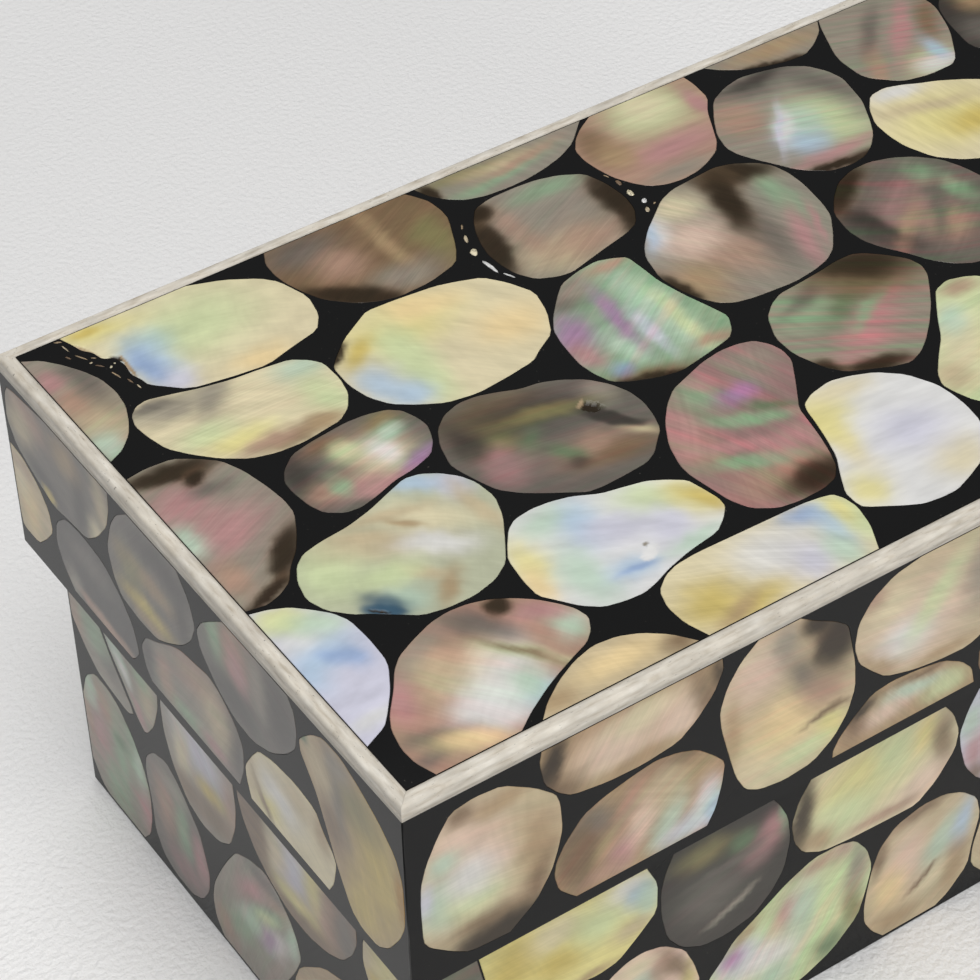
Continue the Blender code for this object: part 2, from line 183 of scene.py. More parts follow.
def stepped_box(name, half_long, half_wide, profile):
    """A box whose profile is a row of points (inset, height), from the outer foot round to the inner end."""
    shape = bmesh.new()
    rings = []
    for inset, height in profile:
        x, y = half_long - inset, half_wide - inset
        rings.append([shape.verts.new((*p, height)) for p in ((-x, -y), (x, -y), (x, y), (-x, y))])
    for ring, upper in zip(rings, rings[1:]):
        for i in range(4):
            shape.faces.new((ring[i], ring[i - 3], upper[i - 3], upper[i]))
    shape.faces.new(rings[0][::-1])
    shape.faces.new(rings[-1])
    return mesh_of(name, shape)


painted_wood, tree, shader = new_material("black_painted_wood")
WOOD_GRAIN_MM = 0.8
place = add(tree, "TexCoord")
STRETCH = (0.06, 1.0, 1.0)  # the grain runs along the box
along = add(tree, "VectorMath", {"operation": "MULTIPLY", 1: STRETCH}, {0: place.outputs["Object"]})
grain = add(tree, "TexNoise", {"Scale": 1000 / WOOD_GRAIN_MM, "Detail": 3.0}, {"Vector": along.outputs[0]})
paint = add(tree, "ValToRGB", links={"Fac": grain.outputs["Fac"]})
paint.color_ramp.elements[0].color = linear("#121110")
paint.color_ramp.elements[1].color = linear("#262423")
tree.links.new(paint.outputs["Color"], shader.inputs["Base Color"])
relief = add(tree, "Bump", {"Strength": 0.3, "Distance": 0.0001}, {"Height": grain.outputs["Fac"]})
tree.links.new(relief.outputs["Normal"], shader.inputs["Normal"])
shader.inputs["Roughness"].default_value = 0.55

SKIN = SHELL_THICK + 2 * FILM  # depth of the shells and the resin on the wood
lid_case = stepped_box(
    "lid_case",
    HALF_LONG,
    HALF_WIDE,
    [
        (LID_WALL, HEIGHT - LID_TOP),
        (LID_WALL, LID_FOOT),
        (SKIN, LID_FOOT),
        (SKIN, HEIGHT - STRIP_TALL - FILM),
        (STRIP_WIDE + FILM, HEIGHT - STRIP_TALL - FILM),
        (STRIP_WIDE + FILM, HEIGHT - SKIN),
    ],
)
put_mesh("lid_case", lid_case, painted_wood, "black_resin_case", "lid")

# Shell pebbles of the lid's top
# Pieces of black-lip mother-of-pearl, ground flat and to soft facets all round, and polished with the resin.
# Each is painted with broad patches of its own lustre, laid over each other. The material adds growth lines.
TONES = {
    "white": "#d3d2d0",
    "lilac": "#c4c3cf",
    "sky": "#aabccd",
    "blue": "#90a2c0",
    "ink": "#3a5263",
    "mint": "#b2c4b3",
    "lime": "#c2cca4",
    "green": "#88a085",
    "moss": "#5f7359",
    "lemon": "#d4cb92",
    "gold": "#bdaa68",
    "cream": "#d0c6a9",
    "peach": "#dcc69c",
    "blush": "#d2bbac",
    "sage": "#aeb09a",
    "amber": "#9a7434",
    "beige": "#b9ab90",
    "tan": "#9f8a6e",
    "rose": "#a38878",
    "mauve": "#8d7472",
    "pink": "#ab8484",
    "magenta": "#a07d9f",
    "brown": "#74604c",
    "umber": "#2a2116",
    "olive": "#7d7856",
    "grey": "#8b857a",
    "smoke": "#65605a",
    "coal": "#3a3632",
}
TONES = {name: np.array(linear(colour)[:3]) for name, colour in TONES.items()}

# A look is a base tone, the direction of the growth lines in degrees, how strong the ribs and the pink and
# green bands are, and patches: tone, x and y of the middle, half length, half width, turn and hardness.
TOP_LOOKS = [
    ("cream", -20, 0.3, 0.0, [("lime", 37, 135, 13, 9), ("lemon", 20, 144, 8, 3), ("gold", 18, 145, 3, 1.6),
        ("mint", 28, 135, 5, 4), ("sky", 25, 130, 5, 8), ("blue", 23.5, 128, 2.6, 6),
        ("lilac", 26, 121, 4, 4), ("peach", 44, 118, 6, 3)]),
    ("brown", 88, 1.0, 0.1, [("smoke", 68, 142, 8, 5), ("rose", 72, 134, 5, 5), ("tan", 84, 136, 2, 12),
        ("olive", 93, 131, 4, 9), ("grey", 81, 123, 8, 4), ("brown", 90, 141, 6, 4),
        ("umber", 69, 123.5, 12, 3.6, -42, 3)]),
    ("grey", 10, 0.5, 0.1, [("olive", 112, 145, 12, 2), ("beige", 120, 144, 9, 2),
        ("green", 116, 140, 12, 1.8, 8), ("rose", 122, 142.4, 10, 1.4, 8),
        ("umber", 100.5, 143, 2, 4, 0, 3)]),
    ("grey", 84, 1.0, 0.1, [("beige", 112, 112, 9, 7), ("green", 122, 131, 8, 3), ("rose", 109, 122, 3, 8),
        ("grey", 118, 122, 8, 6), ("rose", 119, 112, 8, 5), ("umber", 101.3, 122, 3.6, 13, -10, 3),
        ("umber", 131.4, 117, 3.8, 14, -10, 3), ("umber", 105, 132, 4, 3, 30, 3)]),
    ("rose", 65, 0.5, 0.1, [("lime", 156, 141, 9, 8), ("cream", 156, 143, 5, 5), ("pink", 152, 127, 11, 4),
        ("brown", 139, 137, 4, 8), ("tan", 141, 131, 4, 5), ("grey", 150, 119, 9, 3),
        ("pink", 167, 137, 2, 6)]),
    ("grey", 5, 0.6, 0.1, [("tan", 193, 144, 12, 3), ("umber", 187, 139, 14, 1.6, -8, 3)]),
    ("grey", 52, 0.8, 0.25, [("smoke", 181, 136, 15, 4), ("coal", 183, 137, 8, 2), ("rose", 170, 127, 6, 6),
        ("smoke", 194, 127, 4, 9, 20), ("lime", 187, 115, 6, 9, 15), ("sky", 178, 113, 5, 5, 50),
        ("mint", 181, 119, 5, 5), ("white", 177, 119, 6, 2, 58), ("lilac", 175.5, 118.5, 8, 0.8, 56),
        ("pink", 181, 105.6, 10, 2), ("umber", 178, 101.3, 12, 1.6, -4, 3)]),
    ("grey", 52, 0.9, 0.5, [("pink", 221, 133, 12, 2.2, 50), ("rose", 207, 124, 12, 2, 60),
        ("smoke", 215, 137, 9, 2, 50), ("brown", 229, 133, 9, 2.5, 52), ("beige", 219, 119, 8, 5, 25),
        ("white", 220, 118, 5, 3), ("sky", 223, 123, 2, 4)]),
    ("coal", 60, 0.6, 0.2, [("tan", 243, 134, 4, 6), ("smoke", 236, 122, 5, 6)]),
    ("cream", -15, 0.4, 0.0, [("lemon", 208, 101, 13, 9), ("white", 205, 115, 6, 2.4),
        ("gold", 213, 97, 7, 4), ("beige", 207, 107, 12, 2, -15)]),
    ("grey", 4, 1.0, 0.1, [("rose", 141, 90, 9, 7, 0), ("white", 132, 104, 3, 6, -35),
        ("sky", 130, 104, 1.6, 5, -38), ("cream", 141, 109, 5, 5), ("tan", 130, 86, 5, 7),
        ("blush", 137, 98, 7, 5), ("green", 161, 100, 3, 9), ("smoke", 150, 92, 4, 12),
        ("pink", 156, 86, 2, 10, -22), ("pink", 161, 88, 1, 6, -22), ("umber", 157, 112, 9, 4, -20, 2.5),
        ("umber", 150.5, 105, 3.6, 10, -14, 2.5), ("umber", 125, 87, 2.4, 6, 12, 3)]),
    ("smoke", 125, 1.0, 0.9, [("coal", 170, 80, 5, 12, 15), ("mauve", 182, 78, 7, 10, 30),
        ("mauve", 179, 84, 8, 2.4, 40), ("rose", 176, 76, 8, 2, 40), ("green", 192, 84, 3, 8, 20),
        ("coal", 170, 82, 2, 10, 15), ("rose", 184, 72, 5, 5), ("smoke", 186, 78, 2, 12, -35),
        ("umber", 173, 94, 9, 3, 35, 2.5)]),
    ("grey", 30, 0.9, 0.75, [("green", 140, 66, 7, 6), ("moss", 150, 64, 9, 3, 30),
        ("smoke", 144, 70, 8, 2, 20), ("pink", 146, 53, 11, 4, 24), ("pink", 158, 61, 9, 2, 35),
        ("green", 153, 60, 8, 1.4, 30), ("brown", 157, 68, 12, 6, -28), ("umber", 160, 72, 12, 5, -28, 2),
        ("umber", 142, 44.5, 8, 2.4, -18, 2.5), ("umber", 132.5, 49, 3, 4, 20, 2.5)]),
    ("green", 82, 0.9, 0.4, [("mint", 117, 84, 4, 16), ("lime", 119, 78, 2, 12), ("mint", 105, 78, 3, 6),
        ("magenta", 98.5, 87, 4.6, 7, -20), ("pink", 97, 81, 3, 4), ("smoke", 103, 98, 5, 4),
        ("magenta", 109, 87, 2, 10, -6), ("lilac", 112, 80, 1.6, 7, -6), ("blue", 99, 73, 2.4, 2.4),
        ("grey", 107, 100, 5, 3), ("rose", 117, 102, 5, 2), ("brown", 104, 69, 11, 2.6, -18),
        ("umber", 104, 67.8, 10, 1.6, -18, 2.5), ("rose", 121, 70, 5, 2)]),
    ("cream", 0, 0.3, 0.0, [("lemon", 70, 110, 13, 7), ("peach", 77, 113, 9, 4), ("lime", 68, 104, 4, 9),
        ("lime", 67, 93, 4, 8), ("sky", 58.5, 97, 4.6, 7), ("sky", 62, 91, 4, 4),
        ("gold", 60, 108, 5, 2, 35), ("umber", 56.3, 110, 3.2, 1.3, 40, 3), ("peach", 90, 98, 7, 6)]),
    ("cream", 48, 0.8, 0.05, [("grey", 20, 115, 9, 3.4), ("grey", 29, 113, 7, 3, 50),
        ("lime", 22, 104, 6, 3), ("lemon", 27, 99, 7, 3), ("mint", 48, 111, 5, 4), ("lime", 48, 101, 4, 6),
        ("cream", 38, 105, 1.2, 10, 12), ("brown", 36, 93.5, 8, 2.4, 6), ("rose", 31, 95, 6, 2),
        ("tan", 43, 94, 4, 3), ("smoke", 17, 117, 5, 1.4)]),
    ("grey", 70, 0.7, 0.2, [("beige", 8, 120, 5, 9), ("pink", 5, 136, 3, 4), ("rose", 6, 127, 3, 4),
        ("smoke", 11, 132, 3, 9), ("mint", 5, 112, 3, 4)]),
    ("smoke", 58, 0.9, 0.35, [("coal", 30, 84, 4, 8), ("brown", 39, 88, 5, 3), ("rose", 34, 76, 5, 3),
        ("pink", 41, 73, 6, 3), ("green", 36, 76, 2, 3), ("lime", 42, 84, 3, 3), ("cream", 47, 79, 6, 6),
        ("white", 48, 80, 3, 4), ("olive", 52, 87, 4, 3), ("mint", 52, 84, 3, 2),
        ("magenta", 52, 74, 6, 1.6, 25), ("pink", 43, 72, 5, 2)]),
    ("grey", 68, 0.7, 0.2, [("pink", 8, 88, 6, 6), ("pink", 12, 78, 8, 5, 20), ("rose", 6, 66, 3, 5),
        ("mint", 4, 79, 3, 5), ("smoke", 15, 90, 5, 2), ("umber", 11, 98.5, 10, 2.8, -8, 3),
        ("umber", 14, 94.5, 3, 2, 20, 2.5), ("umber", 17.5, 66, 9, 2.6, 52, 3),
        ("umber", 9, 58.5, 6, 1.6, 12, 2.5)]),
    ("sage", -28, 0.3, 0.0, [("lime", 21, 57, 7, 7), ("beige", 33, 58, 12, 4, -30),
        ("cream", 44, 60, 10, 4, -35), ("white", 42, 52, 7, 3, -35), ("sky", 49, 68, 7, 2.4, -30),
        ("lilac", 54, 64, 3, 4), ("beige", 37, 64, 9, 1.5, -12), ("beige", 31, 61, 5, 1.4, -30),
        ("tan", 40, 60, 4, 0.9, -40), ("beige", 54, 56, 2, 8), ("tan", 38, 41, 5, 2.2, 50),
        ("beige", 36, 47, 5, 1.6, -50), ("mint", 29, 43, 4, 4), ("lime", 30, 50, 6, 3),
        ("ink", 24.8, 44, 5, 2.6, -50, 1.6), ("ink", 23.8, 42.6, 4.4, 1.6, -45, 3)]),
    ("smoke", 40, 0.6, 0.25, [("brown", 70, 77, 10, 5), ("olive", 67, 69, 5, 6),
        ("coal", 76, 73, 14, 5, -15), ("moss", 71, 64, 5, 2, 40), ("pink", 64, 63, 3, 5),
        ("rose", 82, 57, 8, 4), ("moss", 77, 59, 4, 2, -50), ("coal", 77, 55, 3, 2, -30),
        ("grey", 92, 70, 3, 4), ("brown", 86, 53, 8, 3), ("beige", 92.5, 56.5, 3, 1.4, -40),
        ("olive", 79, 71, 10, 2, -15), ("coal", 89.8, 62.6, 6.4, 1.9, -46, 3), ("coal", 62, 72, 3, 6),
        ("mauve", 66, 62, 5, 4)]),
    ("mauve", -26, 0.9, 0.6, [("rose", 108, 30, 11, 5), ("rose", 98, 46, 4, 8), ("green", 107, 58, 4, 5),
        ("pink", 98, 51, 4, 7), ("green", 112, 46.5, 9, 1.7, -28), ("green", 105, 36, 9, 2, -22),
        ("moss", 118, 47, 5, 1.4, -30), ("pink", 103, 42, 9, 1.6, -20), ("pink", 116, 37, 6, 3),
        ("magenta", 114, 54, 4, 2.6), ("grey", 122, 60, 5, 5), ("pink", 111, 61, 3, 3),
        ("umber", 112, 25.5, 8, 4, 4, 2.2)]),
    ("white", 50, 0.1, 0.0, [("lemon", 124, 40, 6, 5), ("cream", 122, 30, 3, 9), ("lemon", 117, 17, 4, 5),
        ("cream", 138, 14, 6, 5, 20), ("cream", 131, 43, 8, 3), ("lilac", 135, 26, 7, 6),
        ("lemon", 122, 36, 4, 7)]),
    ("lime", 60, 0.6, 0.1, [("cream", 160, 40, 9, 6, 50), ("rose", 171, 55, 5, 2),
        ("mint", 163, 47, 5, 3, 40), ("beige", 152, 33, 4, 5), ("lemon", 166, 33, 8, 4, 50)]),
    ("white", 20, 0.15, 0.0, [("mint", 62, 45, 6, 4), ("lemon", 53, 37, 4, 7), ("peach", 51.5, 31, 2.6, 5),
        ("sky", 67, 40, 4, 7, -20), ("lilac", 72, 36, 7, 4), ("mint", 60, 29, 4, 8),
        ("lime", 82, 39, 7, 4, -30), ("lemon", 88, 35, 4, 6), ("gold", 90.5, 33, 2.4, 5, 20),
        ("lilac", 80, 31, 5, 5), ("sky", 68, 25, 5, 3), ("blue", 69, 24.7, 4, 0.9),
        ("mint", 82, 25, 6, 2)]),
    ("cream", 16, 0.7, 0.0, [("gold", 75, 10, 8, 6, 15), ("gold", 84, 6, 9, 3, 20),
        ("tan", 77, 5, 6, 2, 20), ("cream", 79, 19, 8, 2.6), ("white", 92, 14, 9, 6),
        ("lilac", 97, 8, 5, 5), ("blue", 103, 18.5, 5, 3, -15), ("sky", 105.5, 13, 3, 6),
        ("mint", 103, 7, 3, 5), ("lime", 110.5, 12, 3, 9, 8), ("lemon", 109, 16, 2, 4)]),
    ("lilac", 30, 0.1, 0.0, [("lemon", 7, 52, 5, 3), ("lime", 9, 49, 7, 4, -30), ("mint", 12, 46, 4, 4),
        ("white", 6, 44, 5, 3), ("sky", 9, 39, 6, 4), ("blue", 10.5, 38, 3.4, 1.8, -50),
        ("blue", 13, 35, 2, 3, 20), ("sky", 5, 35, 3, 5), ("lilac", 8, 27, 6, 6), ("white", 8, 20, 5, 2)]),
    ("rose", -52, 0.45, 0.2, [("grey", 22, 30, 8, 3, 30), ("smoke", 35, 31, 7, 4, -50),
        ("smoke", 39, 27, 6, 2, -60), ("beige", 23, 22, 6, 6), ("pink", 14, 22, 3, 6, -20),
        ("cream", 31, 20, 6, 4, 45), ("white", 31, 15, 10, 5.5, 35), ("white", 27, 10, 7, 4.5),
        ("sky", 36, 9, 4, 3), ("mint", 35, 12, 4, 4), ("lime", 40, 18, 1.4, 9, 40),
        ("brown", 39, 19, 0.9, 9, 35), ("rose", 44, 19, 3, 5), ("mint", 50, 20, 3.4, 4),
        ("pink", 47, 26, 5, 2.4, -40), ("smoke", 14, 10, 7, 2.2, -20), ("smoke", 11, 7, 4, 2),
        ("peach", 19, 6, 7, 2.4, -25), ("umber", 42, 31.6, 2.4, 2.4, 10, 3)]),
    ("beige", 8, 0.6, 0.0, [("peach", 52, 8, 9, 3), ("tan", 37, 6, 4, 3), ("brown", 64, 5, 4, 2.6)]),
]

# Outlines of the top shells in the picture, drawn in millimetres from the lid's near left corner. The
# others keep the outlines of their solids.
TOP_DRAWN = {
    1: [(13, 146.8), (14.2, 143.5), (14.8, 141), (16.4, 139), (17, 136.2), (19.2, 135), (19.9, 132),
        (19.4, 128.6), (20.3, 126), (20.6, 123.8), (26.7, 117.9), (35.8, 116.2), (43.3, 115.3), (50, 117.2),
        (57.1, 118.9), (60, 123), (61.3, 129.2), (59, 136.8), (56.3, 140), (50, 144), (42.5, 146.8)],
    2: [(59.3, 139.2), (59.6, 135.8), (60.9, 130.8), (63.3, 126.3), (68.3, 121.3), (72.5, 119.2),
        (76.7, 118.2), (84.2, 118.5), (92.1, 120.7), (95, 125), (99.2, 134.2), (99.6, 137.5), (99.2, 141.7),
        (97.5, 145), (96.3, 146.8), (61.3, 146.8), (59.6, 143.3)],
    3: [(100, 143.3), (102.5, 140), (105.8, 137.5), (110, 136.2), (115.8, 135.8), (120.8, 136),
        (125.8, 136.9), (131, 138.4), (136, 141), (142, 146.8), (98.8, 146.8)],
    4: [(100, 110.8), (102.5, 106.7), (106.7, 104.7), (110, 104.2), (115, 105.5), (120, 106.8),
        (126.7, 108.3), (130.4, 110), (133, 114), (134, 119), (133.4, 125), (131.6, 130.4), (126.7, 133.3),
        (121.7, 134.7), (116.7, 135.1), (110, 135), (105.6, 133.8), (103, 130.5), (101.2, 127), (99.8, 123),
        (99, 119), (99.2, 115)],
    5: [(134.3, 134.2), (134.8, 130), (135.8, 125.8), (137.9, 121.7), (140.2, 118.8), (143.5, 117.1),
        (147.7, 116.5), (151.8, 117), (155.2, 118.2), (159.3, 120.4), (161.8, 123.3), (164.3, 128.3),
        (166.8, 133.3), (170, 137.5), (170.6, 143.3), (170.3, 146.8), (144.5, 146.8), (140.2, 144.2),
        (137.3, 141.7), (134.8, 138.3)],
    6: [(176, 146.8), (178.5, 144.2), (182.7, 141.3), (187.7, 139.4), (192.7, 138.2), (197.7, 137.9),
        (201.8, 140), (206, 143.3), (208.3, 146.8)],
    7: [(161.8, 120), (162.5, 116.7), (164.3, 113.3), (166.9, 109.2), (169, 105.6), (171.5, 103),
        (175.2, 100.4), (180.2, 99.7), (184.3, 100.4), (187.7, 102.5), (191, 105.8), (193.5, 110),
        (196.8, 116.7), (197.7, 120.8), (198.7, 125.8), (197.7, 130), (195.2, 134.2), (191, 137.1),
        (185.2, 138.6), (180.2, 139.4), (175.2, 138.3), (170.2, 135.8), (166, 130), (163.1, 125)],
    10: [(193.1, 103), (193.5, 98.3), (196, 91.7), (200.2, 87.5), (204, 85.3), (211, 83.5), (219, 83),
        (226, 86), (231, 92), (231.5, 98), (228, 104), (221, 109.5), (215, 113), (211, 114.6),
        (207.7, 116.3), (203.5, 117.7), (199.3, 117.1), (196, 113.3), (193.5, 108.3)],
    11: [(123.4, 92), (124.3, 86.5), (126, 82), (128.3, 78.6), (131, 76.8), (135.2, 75.8), (145.2, 75),
        (151, 75.8), (155.2, 77), (158.5, 79.2), (161.8, 83.3), (165.2, 88.3), (166.4, 92.5), (167.4, 100),
        (167.3, 105), (166.2, 109.2), (163.9, 112.1), (159.3, 115), (155.2, 116.1), (149.8, 115.6),
        (143.5, 115), (139.3, 113.3), (135.2, 110), (131, 106.7), (127, 102.5), (125, 99.2)],
    12: [(164.7, 82), (165.2, 77.5), (166.8, 73.8), (169.8, 69.2), (172.3, 64.4), (175.4, 60.8),
        (179.3, 58.4), (185, 57.7), (191, 60), (196.5, 66), (199.5, 73), (200.2, 79), (198.9, 85),
        (196.8, 90), (192.7, 94.2), (188.5, 96.7), (183.5, 98.3), (178.5, 98.2), (173.5, 96.3),
        (169.3, 92.5), (166, 88.3)],
    13: [(130.7, 63), (130.6, 57), (133.1, 50), (135.6, 46.7), (140.2, 44.4), (144.3, 42.5), (148.1, 41.5),
        (151.8, 42.9), (155.2, 45.4), (159.3, 49.2), (163.1, 53.3), (166, 57.1), (168.9, 61.3),
        (169.8, 64.2), (169, 67.5), (166, 71.2), (162.6, 74.4), (160.2, 75.6), (156, 75.6), (151, 74.8),
        (145.2, 74.2), (140.2, 73.8), (136.8, 72.1), (133.5, 69.2)],
    14: [(94, 79), (94.6, 75), (96, 71.2), (99.2, 69), (104.2, 66.9), (109.2, 65.8), (114, 66.6),
        (118.3, 67.4), (123.3, 68.5), (125.4, 70.4), (127.4, 74.2), (126.3, 78.3), (124.2, 85),
        (122.7, 91.7), (122.5, 96.7), (122.1, 101.7), (119.2, 103.3), (115.8, 104.4), (110.8, 103.8),
        (105.8, 102.3), (102.5, 99.2), (98.3, 94.6), (95.8, 90.8), (94.8, 86.7), (94.2, 81.7)],
    15: [(53, 101.5), (53.2, 99.2), (54.2, 95), (56.7, 90.8), (60.8, 87.7), (65.8, 84.8), (72.5, 83.6),
        (80, 84.3), (87.1, 85.4), (90, 87.5), (95, 90.4), (98.3, 96.7), (99.9, 103.3), (97.1, 109.2),
        (93.8, 113.6), (88.3, 115.7), (84.2, 116.9), (75, 117.9), (68.3, 118.2), (65, 116.3), (60, 113.3),
        (55.4, 109.2), (53.3, 106.7)],
    16: [(12.2, 114.2), (12.7, 110), (13.9, 105), (16.9, 100.8), (20.9, 96.5), (25.8, 93), (30.8, 91.5),
        (36.7, 91.1), (41.5, 91.8), (46, 92.5), (49.2, 94.8), (51.7, 98.6), (52.7, 103.3), (52.6, 109.2),
        (50.8, 111.7), (47.5, 114.2), (41.7, 115), (35, 115.6), (28.3, 117), (22.5, 118.8), (17.9, 120),
        (15.2, 119.4), (13.2, 117.5)],
    17: [(3.2, 107.9), (6.7, 109.6), (10, 112.9), (12, 116.4), (13.8, 120.8), (14.4, 125.8), (13.8, 130.8),
        (12.1, 135), (9.6, 139.2), (6.7, 142.9), (3.2, 145)],
    18: [(32.5, 69.2), (35.8, 68.8), (40, 69.8), (45, 71.5), (50, 72.2), (55, 73.9), (57.3, 76.7),
        (58.3, 78.9), (59.1, 81.4), (58.8, 84.2), (57.5, 87.9), (55, 90), (50.8, 91.1), (46.3, 91.4),
        (41.7, 90.9), (37.5, 90.4), (32.9, 89.4), (29.2, 86.3), (27.5, 83.3), (27.3, 80), (27.9, 75),
        (29.2, 71.6)],
    19: [(3.2, 57.2), (5, 56.8), (7.5, 56.4), (10.8, 57.4), (13.8, 59.2), (16, 62.4), (19.4, 65.8),
        (22.1, 70), (24.6, 75), (24.9, 79), (24.3, 84.2), (22.9, 90.8), (20.8, 95.8), (17.1, 99.2),
        (13.3, 101.8), (7.5, 102.3), (3.2, 101.7)],
    20: [(13.9, 53.3), (15.4, 48.8), (18.8, 45.2), (21.8, 43.3), (25, 40.8), (29.2, 37.6), (34.2, 36.5),
        (40, 36.4), (45.4, 37.7), (49.6, 40.4), (52.9, 45), (56.4, 51.3), (58.2, 56.7), (57.6, 62.1),
        (56, 65.4), (53.3, 68.3), (50, 70.4), (46.7, 71), (41.7, 69.2), (36.7, 67.3), (30.8, 65.8),
        (24.2, 65.2), (19.8, 64.2), (17.1, 62), (15, 58.3)],
    21: [(73.3, 47.4), (76.7, 47), (81.7, 47.2), (87.5, 47.7), (90.4, 49.2), (92.9, 51.7), (95.5, 54.2),
        (96.9, 58.3), (97.6, 62.5), (97.2, 66.7), (95.4, 70.8), (92.5, 74.6), (88.3, 77.5), (84.2, 79.3),
        (80, 79.9), (75.8, 81.7), (71.7, 83.1), (67.5, 83.4), (63.3, 82), (60, 79.2), (57.7, 75),
        (56.2, 69.2), (56.6, 66.7), (58, 62.1), (59.6, 57.9), (62.7, 54.6), (66.7, 51.7), (70, 49.6)],
    22: [(92.1, 43.3), (92, 40), (92.9, 35), (93.8, 30), (95.8, 25.8), (100, 22.9), (104.5, 22.1),
        (110.5, 22.2), (114.2, 23.3), (116.7, 25.8), (118.1, 30), (119.3, 34.2), (120.2, 38.3),
        (121.2, 43.3), (124, 47.5), (126.7, 51.7), (129.2, 55.8), (129.6, 59.2), (128.8, 62.1), (126.7, 65),
        (123.3, 66.1), (119.2, 66.4), (114.2, 65.6), (109.2, 63.9), (104.6, 62.3), (100.8, 59.2),
        (97.2, 55), (93.8, 49.2)],
    23: [(113.3, 13.8), (120, 9.6), (123.3, 7.9), (127.5, 7.3), (131, 7.3), (135.2, 8.8), (139.8, 10.8),
        (144.5, 15), (147.6, 20), (148.4, 25), (148.4, 29), (147.8, 33.3), (144.8, 39.2), (140.2, 43.3),
        (135.2, 45.4), (131, 46.4), (125.8, 45.4), (122.9, 43.8), (122, 42), (121, 37.5), (119.8, 33),
        (118.2, 28), (115.5, 23.5), (113, 18.8), (112.9, 15.8)],
    24: [(148.5, 32.5), (149.1, 29.5), (150.6, 25.4), (154, 21.5), (160, 21), (167, 25.5), (173, 32),
        (177.5, 40), (179.5, 47), (178.8, 52), (176.8, 55), (174.3, 56.4), (170.6, 57.5), (166.8, 56.3),
        (164.5, 53.4), (161.2, 49), (157.9, 44), (153.7, 39.8), (150, 35.7)],
    25: [(65.8, 18.9), (69.2, 19.8), (73.3, 21.5), (79.2, 23.1), (86.7, 24.3), (90, 26.7), (92.3, 29.2),
        (92.6, 31.7), (91.7, 35.8), (90.8, 39.2), (87.5, 41.7), (84.2, 43.6), (80, 44.6), (75, 45.7),
        (70, 48.3), (65.8, 49.4), (61.7, 49.8), (57.5, 49.2), (55, 47.5), (52.1, 44.2), (50, 40.8),
        (49.3, 34.2), (49.3, 29.6), (51.7, 26.3), (54.2, 22.9), (57.5, 20.2), (61.7, 19.2)],
    26: [(68.8, 3.2), (108.4, 3.2), (111.3, 9.2), (112.5, 14.6), (112, 17.9), (110.8, 20), (108.3, 20.7),
        (104.2, 21.3), (90, 21.7), (80, 22), (75, 21.6), (71.7, 20.4), (68.3, 17.7), (66.9, 13.3),
        (67.1, 8.3)],
    27: [(3.2, 15.7), (8.3, 18), (10.6, 20.6), (14, 25), (16.9, 30), (17.6, 32.5), (17.9, 38.3),
        (17.6, 44.2), (16.1, 47.5), (13.6, 50.4), (10.4, 53.5), (6.7, 55.3), (3.2, 56.2)],
    28: [(9.4, 3.2), (27.5, 3.2), (31.3, 5.9), (36.7, 9), (40.4, 10.8), (45.4, 12.9), (49.6, 14.5),
        (52.1, 16.7), (53.8, 19.8), (53.1, 22.9), (51.4, 25.6), (48.6, 29), (45.4, 31.7), (41.7, 34),
        (37.5, 35.4), (33.3, 35.8), (29.2, 35.2), (24.2, 33.3), (20, 31.3), (17.3, 28.8), (14.4, 24.6),
        (10.6, 20), (8.8, 16.7), (7.7, 11.7), (7.9, 7.5)],
    29: [(32, 3.2), (66.5, 3.2), (63.3, 7.5), (59.2, 10.8), (55, 12.7), (50, 13.3), (45, 12), (40, 9.6),
        (35, 6.2)],
}

# Looks for the pebbles that the picture doesn't show, in the same kinds: a pale one, a smoky one and so on
PLAIN_LOOKS = [
    ("cream", 0.3, 0.0, ("lime", "sky", "lemon", "lilac")),
    ("smoke", 0.9, 0.7, ("pink", "moss", "umber", "rose")),
    ("beige", 0.6, 0.1, ("lemon", "grey", "mint", "rose")),
    ("grey", 0.8, 0.4, ("pink", "green", "umber", "beige")),
    ("white", 0.2, 0.0, ("lemon", "sky", "lilac", "mint")),
    ("tan", 0.7, 0.1, ("rose", "olive", "beige", "umber")),
    ("brown", 0.8, 0.3, ("smoke", "rose", "umber", "tan")),
]


def plain_look(kind, x, y, reach, chance):
    """A look of one of the kinds above, for a shell with this middle and half length in millimetres."""
    base, ribs, bands, tones = PLAIN_LOOKS[kind % len(PLAIN_LOOKS)]
    patches = []
    for tone in tones:
        away, angle = reach * chance.uniform(0.2, 0.8), chance.uniform(0, math.tau)
        middle = (x + away * math.cos(angle), y + away * math.sin(angle))
        size = reach * chance.uniform(0.3, 0.55)
        patches.append((tone, *middle, size, size * chance.uniform(0.35, 0.7), chance.uniform(0, 180)))
    return base, chance.uniform(0, 180), ribs, bands, patches


WANDER_MM = ((9.0, 1.3), (2.4, 0.6))  # how far patch edges wander, as wavelength and reach
WANDER_SEED = 7
noise.seed_set(WANDER_SEED)  # without a seed, vector noise starts from the clock
SOFT = 1.3  # the hardness of a patch's edge where its look gives none
THINNING = 0.75  # how fast a patch thins out from its middle
COVER, COVER_HARD, COVER_MOST = 0.70, 0.12, 0.97  # how much a patch hides: its least, more if hard, its most
FRINGE_COVER, FRINGE_SPREAD, FRINGE_HARD = 0.6, 1.35, 1.6  # the brown fringe of an umber patch
POLISH_DEPTH = 1.16  # polish deepens the colours
POLISH_SHADE = 0.95  # and darkens them a little


def turned(x, y, degrees):
    """A point's coordinates along axes that are turned by so many degrees."""
    angle = math.radians(degrees)
    return x * math.cos(angle) + y * math.sin(angle), y * math.cos(angle) - x * math.sin(angle)


